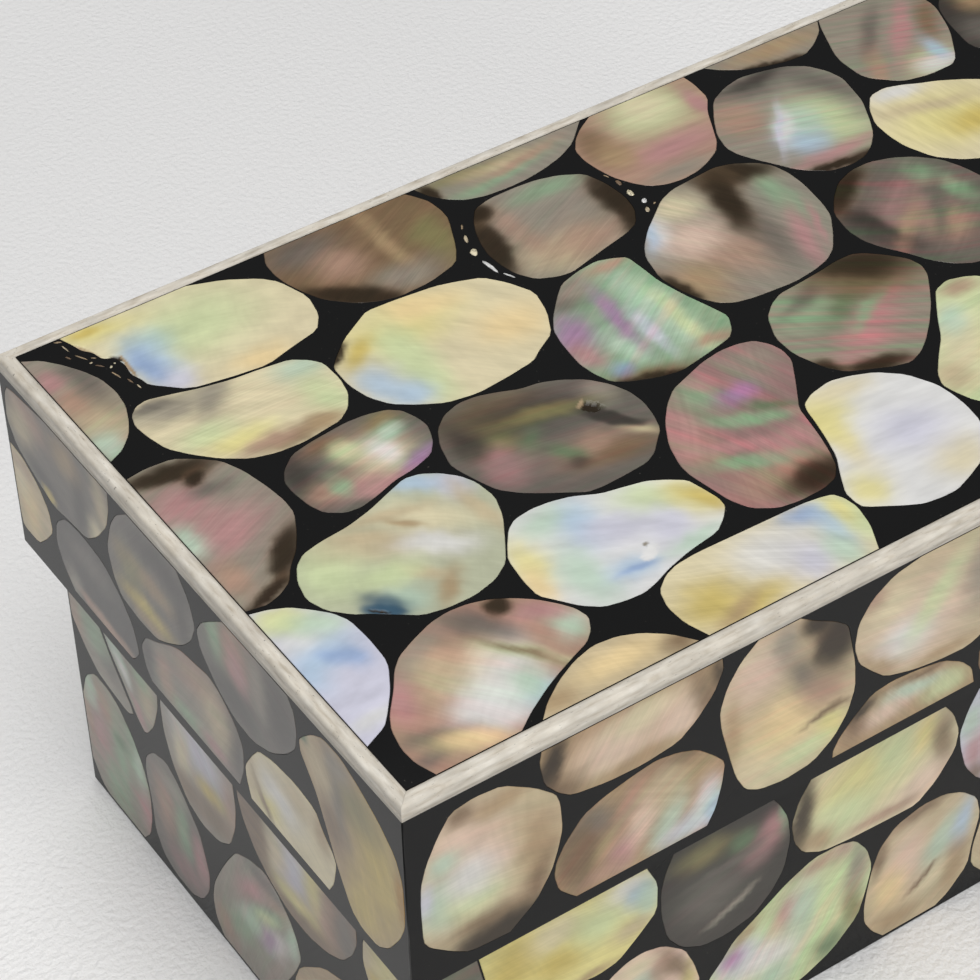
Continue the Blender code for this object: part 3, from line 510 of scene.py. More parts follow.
def painted(points, look, seed):
    """The lustre colour at each point, in millimetres on the face: the base tone with patches over it."""
    base, _, _, _, patches = look
    places = np.array(points)
    for wave, reach in WANDER_MM:
        drift = [noise.noise_vector(Vector((x / wave, y / wave, seed * 1.7)))[:2] for x, y in points]
        places = places + reach * np.array(drift)
    colours = np.tile(TONES[base], (len(points), 1))
    for tone, x, y, long, wide, *more in patches:
        turn, hard = (*more, *(0, SOFT)[len(more) :])
        u, v = turned(*(places - (x, y)).T, turn)
        apart = (u / long) ** 2 + (v / wide) ** 2
        cover = min(COVER_MOST, COVER + COVER_HARD * hard)
        layers = [(tone, cover * np.exp(-THINNING * apart**hard))]
        if tone == "umber":
            fringe = FRINGE_COVER * np.exp(-THINNING * (apart / FRINGE_SPREAD) ** FRINGE_HARD)
            layers.insert(0, ("brown", fringe))
        for layer, share in layers:
            colours = colours * (1 - share[:, None]) + TONES[layer] * share[:, None]
    grey = colours.mean(axis=1, keepdims=True)
    return np.clip((grey + POLISH_DEPTH * (colours - grey)) * POLISH_SHADE, 0, 1)


def inside(point, outline):
    """Whether a point lies inside an outline."""
    x, y = point
    odd = False
    for (ax, ay), (bx, by) in zip(outline, outline[1:] + outline[:1]):
        if (ay > y) != (by > y) and x < ax + (y - ay) / (by - ay) * (bx - ax):
            odd = not odd
    return odd


def offset(outline, by):
    """The outline, drawn counter-clockwise, with every edge moved outwards."""
    moved = []
    for before, here, after in zip(outline[-1:] + outline[:-1], outline, outline[1:] + outline[:1]):
        into = Vector((here[0] - before[0], here[1] - before[1])).normalized()
        onward = Vector((after[0] - here[0], after[1] - here[1])).normalized()
        first, second = Vector((into.y, -into.x)), Vector((onward.y, -onward.x))
        push = (first + second) * by / max(0.3, 1 + first.dot(second))
        moved.append((here[0] + push.x, here[1] + push.y))
    return moved


def on_border(point, field):
    """Whether a point lies on a border of the field that shells may cover."""
    return min(abs(here - side) for corner in field for here, side in zip(point, corner)) < 1e-5


def softened(outline, field, rounds=2, cut=0.16):
    """The outline with its corners ground round. Those on the field's border stay sharp."""
    for _ in range(rounds):
        smooth = []
        for before, here, after in zip(outline[-1:] + outline[:-1], outline, outline[1:] + outline[:1]):
            if on_border(here, field):
                smooth.append(here)
                continue
            smooth.append(tuple(a + cut * (b - a) for a, b in zip(here, before)))
            smooth.append(tuple(a + cut * (b - a) for a, b in zip(here, after)))
        outline = smooth
    return outline


def divided(outline, step):
    """The outline with its long edges divided."""
    fine = []
    for here, there in zip(outline, outline[1:] + outline[:1]):
        parts = max(1, round(math.dist(here, there) / step))
        fine += [tuple(a + (b - a) * i / parts for a, b in zip(here, there)) for i in range(parts)]
    return fine


def face_matrix(corner, right, up):
    """Carries a point drawn on a face to its place on the box."""
    turn = Matrix((right, up, right.cross(up))).transposed()
    return Matrix.Translation(corner) @ turn.to_4x4()


X, Y, Z = Vector((1, 0, 0)), Vector((0, 1, 0)), Vector((0, 0, 1))
EASE = 0.00012  # the sharp edge that polishing takes off
ROW = 0.87  # the rows of a triangular grid lie this share of its step apart
FLOW_BEND = 6.0  # growth lines curve as they go
RAGGED_WAVES = 1400  # a pit's edge is ragged with so many waves a metre
RAGGED, PIT_REACH, PIT_STEEP = 0.35, 1.15, 2.5  # how ragged, where the slope starts, and how steep it is


def add_shell(shape, place, out, outline, look, seed, step, pits=()):
    """Adds one pebble to a bmesh: a finely divided face, an eased edge, straight sides and a flat back."""
    tint = shape.loops.layers.float_color.get("nacre") or shape.loops.layers.float_color.new("nacre")
    flow = shape.verts.layers.float_vector.get("flow") or shape.verts.layers.float_vector.new("flow")
    habit = shape.verts.layers.float_vector.get("habit") or shape.verts.layers.float_vector.new("habit")
    rim = divided(outline, step)
    inner = offset(rim, -EASE)
    low_x, low_y = (min(values) for values in zip(*inner))
    high_x, high_y = (max(values) for values in zip(*inner))
    core = offset(rim, -0.6 * step)
    points = list(inner)
    for row in range(int((high_y - low_y) / (step * ROW)) + 1):
        for column in range(int((high_x - low_x) / step) + 1):
            point = (low_x + (column + 0.5 * (row % 2)) * step, low_y + row * step * ROW)
            if inside(point, core):
                points.append(point)
    count = len(inner)
    edges = [(i, (i + 1) % count) for i in range(count)]
    flat, _, faces, *_ = delaunay_2d_cdt([Vector(p) for p in points], edges, [], 1, 1e-7)
    flat = [(p[0], p[1]) for p in flat]
    _, grain, ribs, bands, _ = look
    colours = painted([(x * 1000, y * 1000) for x, y in flat], look, seed)

    def sunk(x, y):
        """How deep a point lies in a pit, the pit's tone and how far its colour takes over."""
        depth, tone, share = 0.0, None, 0.0
        for pit_tone, pit_x, pit_y, long, wide, turn, deep in pits:
            u, v = turned(x * 1000 - pit_x, y * 1000 - pit_y, turn)
            ragged = RAGGED * noise.noise(Vector((x * RAGGED_WAVES, y * RAGGED_WAVES, seed)))
            slope = (PIT_REACH - math.hypot(u / long, v / wide) + ragged) * PIT_STEEP
            inwards = min(1.0, max(0.0, slope))
            if inwards > share:
                depth, tone, share = deep / 1000 * inwards, TONES[pit_tone], inwards
        return depth, tone, share

    def put(x, y, depth):
        vert = shape.verts.new(place @ Vector((x, y, 0)) - out * depth)
        u, v = turned(x, y, grain)
        vert[flow] = (u, v + FLOW_BEND * u * u, seed * 0.37)
        vert[habit] = (ribs, bands, 0.0)
        return vert

    verts, tints = [], []
    for (x, y), colour in zip(flat, colours):
        depth, tone, share = sunk(x, y)
        verts.append(put(x, y, depth))
        tints.append(colour if tone is None else colour * (1 - share) + tone * share)
    made = []
    for face in faces:
        made.append((shape.faces.new([verts[i] for i in face]), [tints[i] for i in face]))
    edge_ring = verts[:count]
    eased = [put(x, y, EASE) for x, y in rim]
    back = [put(x, y, SHELL_THICK) for x, y in rim]
    for i in range(count):
        j = (i + 1) % count
        for quad, shades in (
            ((edge_ring[j], edge_ring[i], eased[i], eased[j]), (j, i, i, j)),
            ((eased[j], eased[i], back[i], back[j]), (j, i, i, j)),
        ):
            made.append((shape.faces.new(quad), [tints[k] for k in shades]))
    made.append((shape.faces.new(back[::-1]), [tints[0]] * count))
    for face, shades in made:
        for loop, shade in zip(face.loops, shades):
            loop[tint] = (*shade, 1.0)


def finished_mesh(name, shape, smooth_angle=30):
    """The same as mesh_of, shaded smooth over edges of up to so many degrees."""
    mesh = mesh_of(name, shape)
    mesh.shade_smooth()
    mesh.set_sharp_from_angle(angle=math.radians(smooth_angle))
    return mesh


# Nacre is stacked plates of aragonite, IOR about 1.53, with fine ribs across its growth lines, and bands of
# pink and green where the plates' thickness changes. Its polish is a clear wet gloss over a soft lustre.
RIBS_MM = (22.0, 0.55)  # along the growth direction and across it
LINES_MM = (1.3, 26.0)
BANDS_MM = (30.0, 4.2)
CLOUDS_MM = (6.0, 4.2)
BEND_MM = (16.0, 12.0)
BEND_REACH = 0.004
BAND_COLOURS = ((0.32, "#768a79"), (0.45, "#7f807b"), (0.55, "#867f7d"), (0.68, "#95797c"))
BAND_GREY = 0.216  # how bright a band's colour is in the middle, so that bands tint and don't darken

nacre, tree, shader = new_material("polished_nacre")
tint = add(tree, "Attribute", {"attribute_name": "nacre"})
flow = add(tree, "Attribute", {"attribute_name": "flow"})
habit = add(tree, "Attribute", {"attribute_name": "habit"})
habits = add(tree, "SeparateXYZ", links={0: habit.outputs["Vector"]})


def stretched_noise(tree, source, grain_mm, detail):
    """Noise whose grains are so long along the growth direction and so wide across it."""
    along, across = grain_mm
    scale = (1000 / along, 1000 / across, 1.0)
    spread = add(tree, "VectorMath", {"operation": "MULTIPLY", 1: scale}, {0: source})
    return add(tree, "TexNoise", {"Scale": 1.0, "Detail": detail}, {"Vector": spread.outputs[0]})


def softly(tree, factor, low, high, strength=None):
    """A brightness between low and high that follows the factor, drawn back to 1 where strength is small."""
    ends = {"From Min": 0.3, "From Max": 0.7, "To Min": low - 1, "To Max": high - 1}
    value = add(tree, "MapRange", ends, {"Value": factor}).outputs[0]
    if strength is not None:
        value = add(tree, "Math", {"operation": "MULTIPLY"}, {0: value, 1: strength}).outputs[0]
    return add(tree, "Math", {"operation": "ADD", 1: 1.0}, {0: value}).outputs[0]


bend = stretched_noise(tree, flow.outputs["Vector"], BEND_MM, 1.0)
sway = {"operation": "MULTIPLY_ADD", 1: (BEND_REACH, BEND_REACH, 0.0)}
bent = add(tree, "VectorMath", sway, {0: bend.outputs["Color"], 2: flow.outputs["Vector"]})
ribs = stretched_noise(tree, bent.outputs[0], RIBS_MM, 2.0)
lines = stretched_noise(tree, bent.outputs[0], LINES_MM, 3.0)
bands = stretched_noise(tree, bent.outputs[0], BANDS_MM, 2.0)
clouds = stretched_noise(tree, flow.outputs["Vector"], CLOUDS_MM, 3.0)
sheen = add(tree, "ValToRGB", {"stops": BAND_COLOURS}, {"Fac": bands.outputs["Fac"]})
brighten = {"operation": "SCALE", "Scale": 1 / BAND_GREY}
brighter = add(tree, "VectorMath", brighten, {0: sheen.outputs["Color"]})
plain = add(tree, "CombineXYZ", {0: 1.0, 1: 1.0, 2: 1.0})
mixed = {0: habits.outputs[1], 4: plain.outputs[0], 5: brighter.outputs[0]}
banded = add(tree, "Mix", {"data_type": "VECTOR"}, mixed)
ribbed = softly(tree, ribs.outputs["Fac"], 0.91, 1.07, habits.outputs[0])
lined = softly(tree, lines.outputs["Fac"], 1.05, 0.93, habits.outputs[0])
clouded = softly(tree, clouds.outputs["Fac"], 0.90, 1.08)
shade = add(tree, "Math", {"operation": "MULTIPLY"}, {0: ribbed, 1: lined})
shade = add(tree, "Math", {"operation": "MULTIPLY"}, {0: shade.outputs[0], 1: clouded})
lit = add(tree, "VectorMath", {"operation": "MULTIPLY"}, {0: tint.outputs["Color"], 1: banded.outputs[1]})
lit = add(tree, "VectorMath", {"operation": "SCALE"}, {0: lit.outputs[0], "Scale": shade.outputs[0]})
tree.links.new(lit.outputs[0], shader.inputs["Base Color"])
relief = add(tree, "Bump", {"Strength": 0.25, "Distance": 0.00004}, {"Height": ribs.outputs["Fac"]})
tree.links.new(relief.outputs["Normal"], shader.inputs["Normal"])
shader.inputs["Roughness"].default_value = 0.38
shader.inputs["IOR"].default_value = 1.53
shader.inputs["Specular IOR Level"].default_value = 0.12
shader.inputs["Coat Weight"].default_value = 1.0
shader.inputs["Coat Roughness"].default_value = 0.05
shader.inputs["Coat IOR"].default_value = 1.2


def middle_of(outline):
    """The mean of an outline's points."""
    return tuple(sum(values) / len(outline) for values in zip(*outline))


def room(point, outline):
    """How far a point lies outside an outline, or less than nothing if it lies inside."""
    nearest = math.inf
    x, y = point
    for (ax, ay), (bx, by) in zip(outline, outline[1:] + outline[:1]):
        run, rise = bx - ax, by - ay
        share = ((x - ax) * run + (y - ay) * rise) / max(run * run + rise * rise, 1e-18)
        share = min(1, max(0, share))
        nearest = min(nearest, math.hypot(x - ax - share * run, y - ay - share * rise))
    return -nearest if inside(point, outline) else nearest


SHELL_GAP = 0.00035
GRIND_ROUNDS = 10
GRIND_SHARE, GRIND_MOST = 0.6, 0.2  # in one round: of what is too close, and of the way to the middle


def ground_to_fit(outlines):
    """Neighbours are ground back where they come too close, as a shell setter does."""
    reach = [max(math.dist(p, middle_of(outline)) for p in outline) for outline in outlines]
    for _ in range(GRIND_ROUNDS):
        for first, mine in enumerate(outlines):
            for second, other in enumerate(outlines):
                centre = middle_of(mine)
                apart = math.dist(centre, middle_of(other))
                if first == second or apart > reach[first] + reach[second]:
                    continue
                for corner, point in enumerate(mine):
                    short = SHELL_GAP - room(point, other)
                    if short > 0:
                        pull = min(GRIND_MOST, GRIND_SHARE * short / math.dist(point, centre))
                        mine[corner] = tuple(a + pull * (b - a) for a, b in zip(point, centre))
    return outlines


def trimmed(outline, field):
    """The part of an outline inside the field, cut straight at its borders."""
    low, high = field
    for axis, bound, side in ((0, low[0], 1), (0, high[0], -1), (1, low[1], 1), (1, high[1], -1)):
        kept = []
        for here, there in zip(outline, outline[1:] + outline[:1]):
            inside_here, inside_there = side * (here[axis] - bound), side * (there[axis] - bound)
            if inside_here >= 0:
                kept.append(here)
            if inside_here * inside_there < 0:
                share = inside_here / (inside_here - inside_there)
                kept.append(tuple(a + share * (b - a) for a, b in zip(here, there)))
        outline = kept
    return outline


def outline_of(node):
    """The outline of a top shell's CAD solid, counter-clockwise from above, on the lid's top."""
    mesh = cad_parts[node].data
    top = {tuple(round(c, 6) for c in v.co[:2]) for v in mesh.vertices if v.co.z > HEIGHT - 1e-5}
    middle = [sum(values) / len(top) for values in zip(*top)]
    ring = sorted(top, key=lambda p: math.atan2(p[1] - middle[1], p[0] - middle[0]))
    return [(x + HALF_LONG, y + HALF_WIDE) for x, y in ring]


top_place = face_matrix(Vector((-HALF_LONG, -HALF_WIDE, HEIGHT)), X, Y)
BORDER = STRIP_WIDE + 0.0001
TOP_FIELD = ((BORDER, BORDER), (2 * HALF_LONG - BORDER, 2 * HALF_WIDE - BORDER))
TOP_STEP = 0.0009
FINE_STEP = 0.00045  # for the shells with pits
# Where a shell is broken: tone, x, y, half length, half width, turn and depth, in millimetres and degrees
TOP_PITS = {
    1: [("tan", 15.6, 140, 3.4, 0.5, -68, 0.25), ("tan", 20.2, 131, 4, 0.45, 85, 0.2),
        ("umber", 19.6, 134.6, 1.6, 0.7, -50, 0.4)],
    21: [("umber", 88.3, 67.4, 2.3, 1.5, -48, 0.6), ("tan", 87, 69.2, 1.5, 0.5, 35, 0.15)],
    20: [("umber", 23.2, 42.9, 2.2, 0.35, -45, 0.1)],
    25: [("grey", 73.6, 29.3, 0.7, 0.5, 20, 0.06), ("white", 73, 27, 2.6, 1.4, 30, 0.05)],
}
SNAP = 0.0005


def to_border(outline):
    """Points that end just short of the edging are brought up to it."""
    low, high = TOP_FIELD
    moved = []
    for point in outline:
        ends = zip(point, low, high)
        moved.append(tuple(a if here - a < SNAP else b if b - here < SNAP else here for here, a, b in ends))
    return moved


top_outlines = []
for number in range(1, 46):
    drawn = [(x / 1000, y / 1000) for x, y in TOP_DRAWN.get(number, ())]
    top_outlines.append(drawn or outline_of(f"top_shell_{number:02d}"))
top_outlines = [trimmed(to_border(outline), TOP_FIELD) for outline in ground_to_fit(top_outlines)]
top_outlines = [
    softened(outline, TOP_FIELD, 1 if number in TOP_DRAWN else 2)
    for number, outline in enumerate(top_outlines, 1)
]
chance = random.Random(11)
for number, outline in enumerate(top_outlines, 1):
    node = f"top_shell_{number:02d}"
    low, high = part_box(node)
    middle = (low + high) / 2
    x, y = (middle.x + HALF_LONG) * 1000, (middle.y + HALF_WIDE) * 1000
    if number <= len(TOP_LOOKS):
        look = TOP_LOOKS[number - 1]
    else:
        look = plain_look(number * 3, x, y, (high.x - low.x) * 500, chance)
    pits = TOP_PITS.get(number, ())
    shape = bmesh.new()
    add_shell(shape, top_place, Z, outline, look, number, FINE_STEP if pits else TOP_STEP, pits)
    piece = f"nacre_top_{number:02d}"
    put_mesh(piece, finished_mesh(piece, shape), nacre, "nacre", node)

# Broken edges of two top shells
# Crumbs of brown and white shell, set in the resin where the rims of two shells broke in the making. They
# are small faceted chips, level with the resin. Those that would touch a shell or the edging aren't made.
CHIPS = [  # tone, x and y of the middle, half length, half width, turn
    ("tan", 12.2, 146.0, 1.1, 0.35, -30),
    ("beige", 12.5, 143.5, 1.7, 0.25, -82),
    ("brown", 11.6, 140.4, 0.9, 0.3, -66),
    ("tan", 13.8, 139.0, 1.9, 0.25, -62),
    ("beige", 14.6, 136.4, 0.5, 0.35, 10),
    ("tan", 15.8, 137.4, 0.8, 0.25, -40),
    ("brown", 15.6, 134.6, 1.3, 0.3, -50),
    ("cream", 17.3, 133.0, 0.6, 0.35, 40),
    ("cream", 18.4, 133.6, 0.35, 0.3, 0),
    ("tan", 16.9, 130.3, 1.8, 0.25, -76),
    ("brown", 18.3, 127.0, 1.3, 0.3, -80),
    ("beige", 18.9, 124.5, 0.9, 0.25, -86),
    ("white", 98.7, 111.0, 1.9, 0.3, -66),
    ("white", 97.2, 115.6, 3.0, 0.6, -86),
    ("cream", 97.2, 121.6, 1.5, 1.0, 70),
    ("beige", 98.3, 126.3, 1.7, 0.5, 68),
    ("tan", 99.9, 130.2, 1.0, 0.3, 60),
    ("tan", 134.9, 127.0, 1.0, 0.35, 110),
    ("brown", 135.7, 123.6, 1.5, 0.6, 84),
    ("cream", 135.6, 119.2, 1.6, 0.9, 76),
    ("white", 136.4, 115.4, 1.1, 0.7, 50),
    ("beige", 135.2, 112.5, 1.3, 0.6, 64),
    ("white", 134.2, 109.6, 0.8, 0.5, 10),
    ("tan", 137.7, 113.4, 0.6, 0.3, 20),
    ("cream", 122.0, 44.6, 0.5, 0.3, 30),
]
CHIP_SIDES = 8
CHIP_ROOM = 0.00012
CHIP_RINGS = ((0.00004, 0.75), (0.00016, 1.0), (0.0009, 0.9))  # depth, and size as a share
broken_shell, tree, shader = new_material("broken_shell")
tint = add(tree, "Attribute", {"attribute_name": "nacre"})
tree.links.new(tint.outputs["Color"], shader.inputs["Base Color"])
shader.inputs["Roughness"].default_value = 0.3

chance = random.Random(23)
shape = bmesh.new()
tint_layer = shape.loops.layers.float_color.new("nacre")
chip_outlines = []
for tone, x, y, long, wide, turn in CHIPS:
    rim = []
    for corner in range(CHIP_SIDES):
        angle = math.tau * corner / CHIP_SIDES
        reach = chance.uniform(0.7, 1.0) / 1000
        dx, dy = turned(reach * long * math.cos(angle), reach * wide * math.sin(angle), -turn)
        rim.append((x / 1000 + dx, y / 1000 + dy))
    others = top_outlines + chip_outlines
    touches = any(room(point, outline) < CHIP_ROOM for point in rim for outline in others)
    if touches or max(y for _, y in rim) > TOP_FIELD[1][1]:
        continue
    chip_outlines.append(rim)
    middle = middle_of(rim)
    tip = shape.verts.new(top_place @ Vector((*middle, -0.00001)))
    levels = []
    for depth, share in CHIP_RINGS:
        ring = [tuple(m + (a - m) * share for a, m in zip(point, middle)) for point in rim]
        levels.append([shape.verts.new(top_place @ Vector((*point, -depth))) for point in ring])
    made = [shape.faces.new((levels[0][i - 1], levels[0][i], tip)) for i in range(CHIP_SIDES)]
    made.append(shape.faces.new(levels[-1][::-1]))
    for upper, lower in zip(levels, levels[1:]):
        for i in range(CHIP_SIDES):
            made.append(shape.faces.new((upper[i], lower[i], lower[i - 1], upper[i - 1])))
    for face in made:
        colour = TONES[tone] * chance.uniform(0.45, 1.15)
        for loop in face.loops:
            loop[tint_layer] = (*colour, 1.0)
put_mesh("shell_chips", finished_mesh("shell_chips", shape), broken_shell, "nacre")

# Shells of the lid's sides
# The same pebbles, set standing. The back and the right have the rows of the front and the left, turned half
# round. A row is x, y from the lid's lower edge, length, width, turn, fatter far end and bend, in mm and
# degrees. Outlines drawn from the picture stand in for the first rows of the front and the left.
SIDE_SIDES = 13
UNEVEN = 0.2  # how far a corner strays from even spacing, as a share of it
SQUARENESS = 2.4  # 2 is an oval, and more is squarer
SPARE = 1.02  # a shell is drawn a little large, and ground back where it meets its neighbours


def pebble(row, chance):
    """A shell's outline as drawn: a squarish oval ground to flats."""
    x0, y0, length, width, turn, *more = row
    fatter, bent = (*more, 0, 0)[:2]
    outline = []
    for corner in range(SIDE_SIDES):
        angle = math.tau * (corner + chance.uniform(-UNEVEN, UNEVEN)) / SIDE_SIDES
        along = math.copysign(abs(math.cos(angle)) ** (2 / SQUARENESS), math.cos(angle))
        across = math.copysign(abs(math.sin(angle)) ** (2 / SQUARENESS), math.sin(angle))
        across = across * (1 + fatter * along) + bent * (along * along - 0.4)
        dx, dy = turned(SPARE * along * length / 2, SPARE * across * width / 2, -turn)
        outline.append(((x0 + dx) / 1000, (y0 + dy) / 1000))
    return outline


LID_LONG_SHELLS = [
    (18.4, 23, 44, 31.5, 82),
    (50, 45, 42, 30, 0),
    (51.7, 14.3, 39.5, 29.5, 4),
    (86, 25.7, 44, 32, 97, 0, 0.05),
    (124, 36, 47, 39, -30),
    (117.5, 4, 36, 25, -3),
    (147.5, 12, 27, 24, 60),
    (163.5, 37, 34, 28, 20),
    (179, 11, 40, 25, 0),
    (193, 38, 30, 26, -10),
    (220, 24, 44, 32, 80),
    (255, 38, 41, 27, 5),
    (253.5, 11.5, 41, 27, 0),
    (284, 23, 42, 29, 95),
]
LID_SHORT_SHELLS = [
    (17, 25, 45, 31, 66, 0.05),
    (54, 38, 38, 30, -15),
    (90.5, 36, 38, 36, -40),
    (127, 40, 44, 36, -5),
    (149, 15, 34, 29, 60),
    (41, 11.5, 34, 24, -3),
    (78, 12, 40.5, 28, -6),
    (116, 12, 35, 26.5, 0),
]
LID_FRONT_LOOKS = [
    ("beige", 8, 0.5, 0.1, [("blush", 12, 34, 8, 8), ("blush", 18, 25, 5, 8), ("mint", 7, 20, 4, 6),
        ("lime", 15, 18, 6, 5), ("lilac", 4.3, 23, 1.6, 4), ("white", 14, 24, 5, 5), ("mint", 8, 31, 3, 3),
        ("beige", 28, 33, 5, 6), ("tan", 29, 22, 4, 9), ("tan", 20, 40, 6, 2.4), ("brown", 12, 42, 3, 2.4),
        ("brown", 18, 10, 10, 2.4), ("umber", 20, 4.6, 11, 4.6, 5, 3), ("brown", 29, 14, 2.4, 6, -20)]),
    ("tan", 85, 0.6, 0.1, [("beige", 50, 37, 16, 6), ("blush", 46, 39, 8, 6), ("cream", 52, 43, 9, 3),
        ("blush", 60, 37, 5, 6), ("tan", 50, 31.5, 14, 2), ("umber", 31, 38.5, 2.8, 10, -12, 3),
        ("brown", 34, 34, 4, 4), ("brown", 66.5, 38, 3, 9, 20), ("umber", 70, 43, 2, 5, 15)]),
    ("tan", 62, 1.0, 0.3, [("brown", 36, 14, 4, 10), ("smoke", 41, 21, 5, 4), ("brown", 60, 27, 9, 2.4),
        ("rose", 49, 20, 2.4, 7, -20), ("blush", 52, 14, 3, 9, -25), ("pink", 47, 8, 3, 4, -20),
        ("beige", 58, 20, 4, 5), ("mint", 58, 10, 3.4, 6, -20), ("lilac", 64, 6, 6, 3),
        ("white", 67, 11, 3, 5, -15), ("sky", 69, 7, 2, 4), ("rose", 42, 6, 5, 2),
        ("brown", 38, 14, 4, 8, 0, 2)]),
    ("beige", 40, 0.6, 0.2, [("blush", 78, 38, 6, 7), ("grey", 84, 42, 3, 5), ("tan", 73, 24, 2.4, 9),
        ("cream", 82, 12, 9, 7), ("peach", 86, 20, 9, 7), ("lemon", 97, 13, 3.4, 4), ("lime", 90, 10, 6, 3),
        ("smoke", 90, 31, 7, 3, -55), ("rose", 95, 24, 6, 4, -30), ("umber", 96.5, 38, 5.4, 9, 12, 3),
        ("umber", 91, 43.5, 3, 3.4, 40, 2), ("brown", 96, 17.6, 6, 0.9, 8, 2)]),
    ("beige", 40, 0.6, 0.1, [("blush", 118, 30, 13, 10), ("cream", 110, 38, 6, 6), ("white", 115, 27, 6, 5),
        ("lime", 122, 34, 3, 10, -35), ("rose", 105, 42, 4, 3), ("tan", 108, 23, 7, 2, -45),
        ("tan", 124, 17, 9, 1.6), ("grey", 134, 34, 5, 9)]),
    ("tan", 0, 0.7, 0.1, [("blush", 112, 9, 8, 3, 10), ("mint", 118, 11, 7, 2, -10),
        ("brown", 103, 9, 3, 4), ("umber", 105, 12.6, 3, 1.4, 30), ("lime", 126, 7, 5, 3),
        ("brown", 121, 14.4, 9, 1)]),
]
LID_FRONT_DRAWN = [
    [(3, 22), (3.2, 13), (4.5, 10.5), (9, 6.5), (13, 3.6), (22, 3), (28, 8), (31.5, 14), (33, 19), (34, 24),
        (33.5, 31), (32.5, 34), (28, 38.5), (21, 43.5), (15, 44.2), (10, 43.3), (7, 38.5), (4.5, 33),
        (3.2, 28)],
    [(29.5, 47), (29, 44), (30, 38), (33, 34), (36, 31.5), (44, 30), (52, 29.7), (60, 30.8), (64, 34),
        (68, 39), (70, 44), (69.6, 47)],
    [(32, 12), (33, 7.5), (35.5, 4.5), (38, 2), (67, 2), (69.5, 7), (70.8, 13), (71.3, 18.5), (68.5, 22),
        (64.5, 26), (60, 28), (55, 29), (50, 28.2), (43, 26.5), (38.5, 24.5), (34.5, 19.5), (32.5, 15.5)],
    [(69.5, 33), (70, 28), (72, 20), (74, 12.5), (76.5, 7.5), (80, 5.3), (86, 4.2), (93, 5), (98, 9),
        (101, 14), (102.5, 20), (102, 27), (100.5, 34), (99.5, 38.5), (96, 41.5), (91, 44.5), (87.5, 47),
        (78, 47), (74, 43.5), (71, 38.5)],
    [(101.5, 31), (103, 26), (106, 22.5), (110, 18.5), (117, 16.2), (124, 15), (131, 14.6), (138, 17),
        (143, 22), (146, 30), (145, 38), (141, 44), (137, 47), (117, 47), (110, 45.5), (105, 42),
        (102, 37)],
    [(98, 5), (99.5, 8), (103, 12), (107, 15.5), (112, 16.2), (118, 15.6), (125, 14.2), (130, 11),
        (133, 7.5), (134.2, 2), (98, 2)],
]
LID_LEFT_LOOKS = [
    ("tan", 85, 0.6, 0.0, [("gold", 9, 25, 8, 15), ("olive", 16, 36, 7, 5), ("smoke", 23, 32, 3, 10, -12),
        ("beige", 29, 36, 4, 8, -20), ("gold", 16, 10, 5, 7), ("brown", 25, 24, 3, 6, -20),
        ("grey", 22, 42, 4, 4), ("moss", 33.5, 40.5, 2, 1.6, 0, 2), ("amber", 1.6, 25, 2.2, 6, 0, 2)]),
    ("smoke", 60, 0.6, 0.2, [("coal", 42, 38, 7, 9), ("rose", 58, 42, 5, 8, 15), ("pink", 57, 36, 3, 5),
        ("grey", 50, 38, 3, 8), ("green", 65, 41, 3, 6), ("coal", 60, 27, 10, 5)]),
    ("smoke", 0, 0.8, 0.1, [("coal", 84, 42, 12, 4), ("tan", 92, 33, 10, 3), ("olive", 98, 30, 5, 6),
        ("gold", 93, 24, 9, 2.4), ("tan", 92, 20.5, 6, 1.6), ("coal", 78, 33, 3, 6)]),
    ("smoke", 75, 0.7, 0.1, [("beige", 108, 40, 3, 8, -8), ("cream", 112, 30, 3, 4),
        ("coal", 119, 33, 3, 9, 10), ("smoke", 126, 34, 4, 8), ("tan", 123, 42, 5, 4),
        ("rose", 139, 42, 7, 4), ("beige", 143, 37, 5, 5), ("coal", 134, 28, 8, 3, 20),
        ("gold", 133, 25.3, 2.6, 1.4, 0, 2)]),
    ("beige", 60, 0.4, 0.1, [("peach", 144, 14, 4, 8), ("rose", 145, 24, 4, 3), ("cream", 146, 20, 3, 5)]),
    ("cream", 50, 0.5, 0.0, [("tan", 29, 18, 3, 5), ("white", 45, 13, 7, 5), ("beige", 38, 19, 6, 3),
        ("lemon", 50, 8, 5, 3), ("brown", 52, 9, 1.2, 7, -30, 2), ("beige", 55, 10, 3, 6)]),
    ("smoke", 30, 0.8, 0.2, [("grey", 78, 14, 12, 9), ("coal", 60.5, 14, 3, 9), ("rose", 74, 20, 9, 5),
        ("beige", 68, 14, 5, 7), ("green", 80, 6, 9, 2.4), ("pink", 70, 6, 5, 2), ("rose", 88, 10, 3, 6),
        ("coal", 95.5, 9, 2.4, 7)]),
    ("coal", 0, 0.6, 0.1, [("smoke", 117, 18, 10, 4), ("rose", 115, 4.5, 12, 1.8, 6, 2),
        ("grey", 126, 6, 3, 4)]),
]
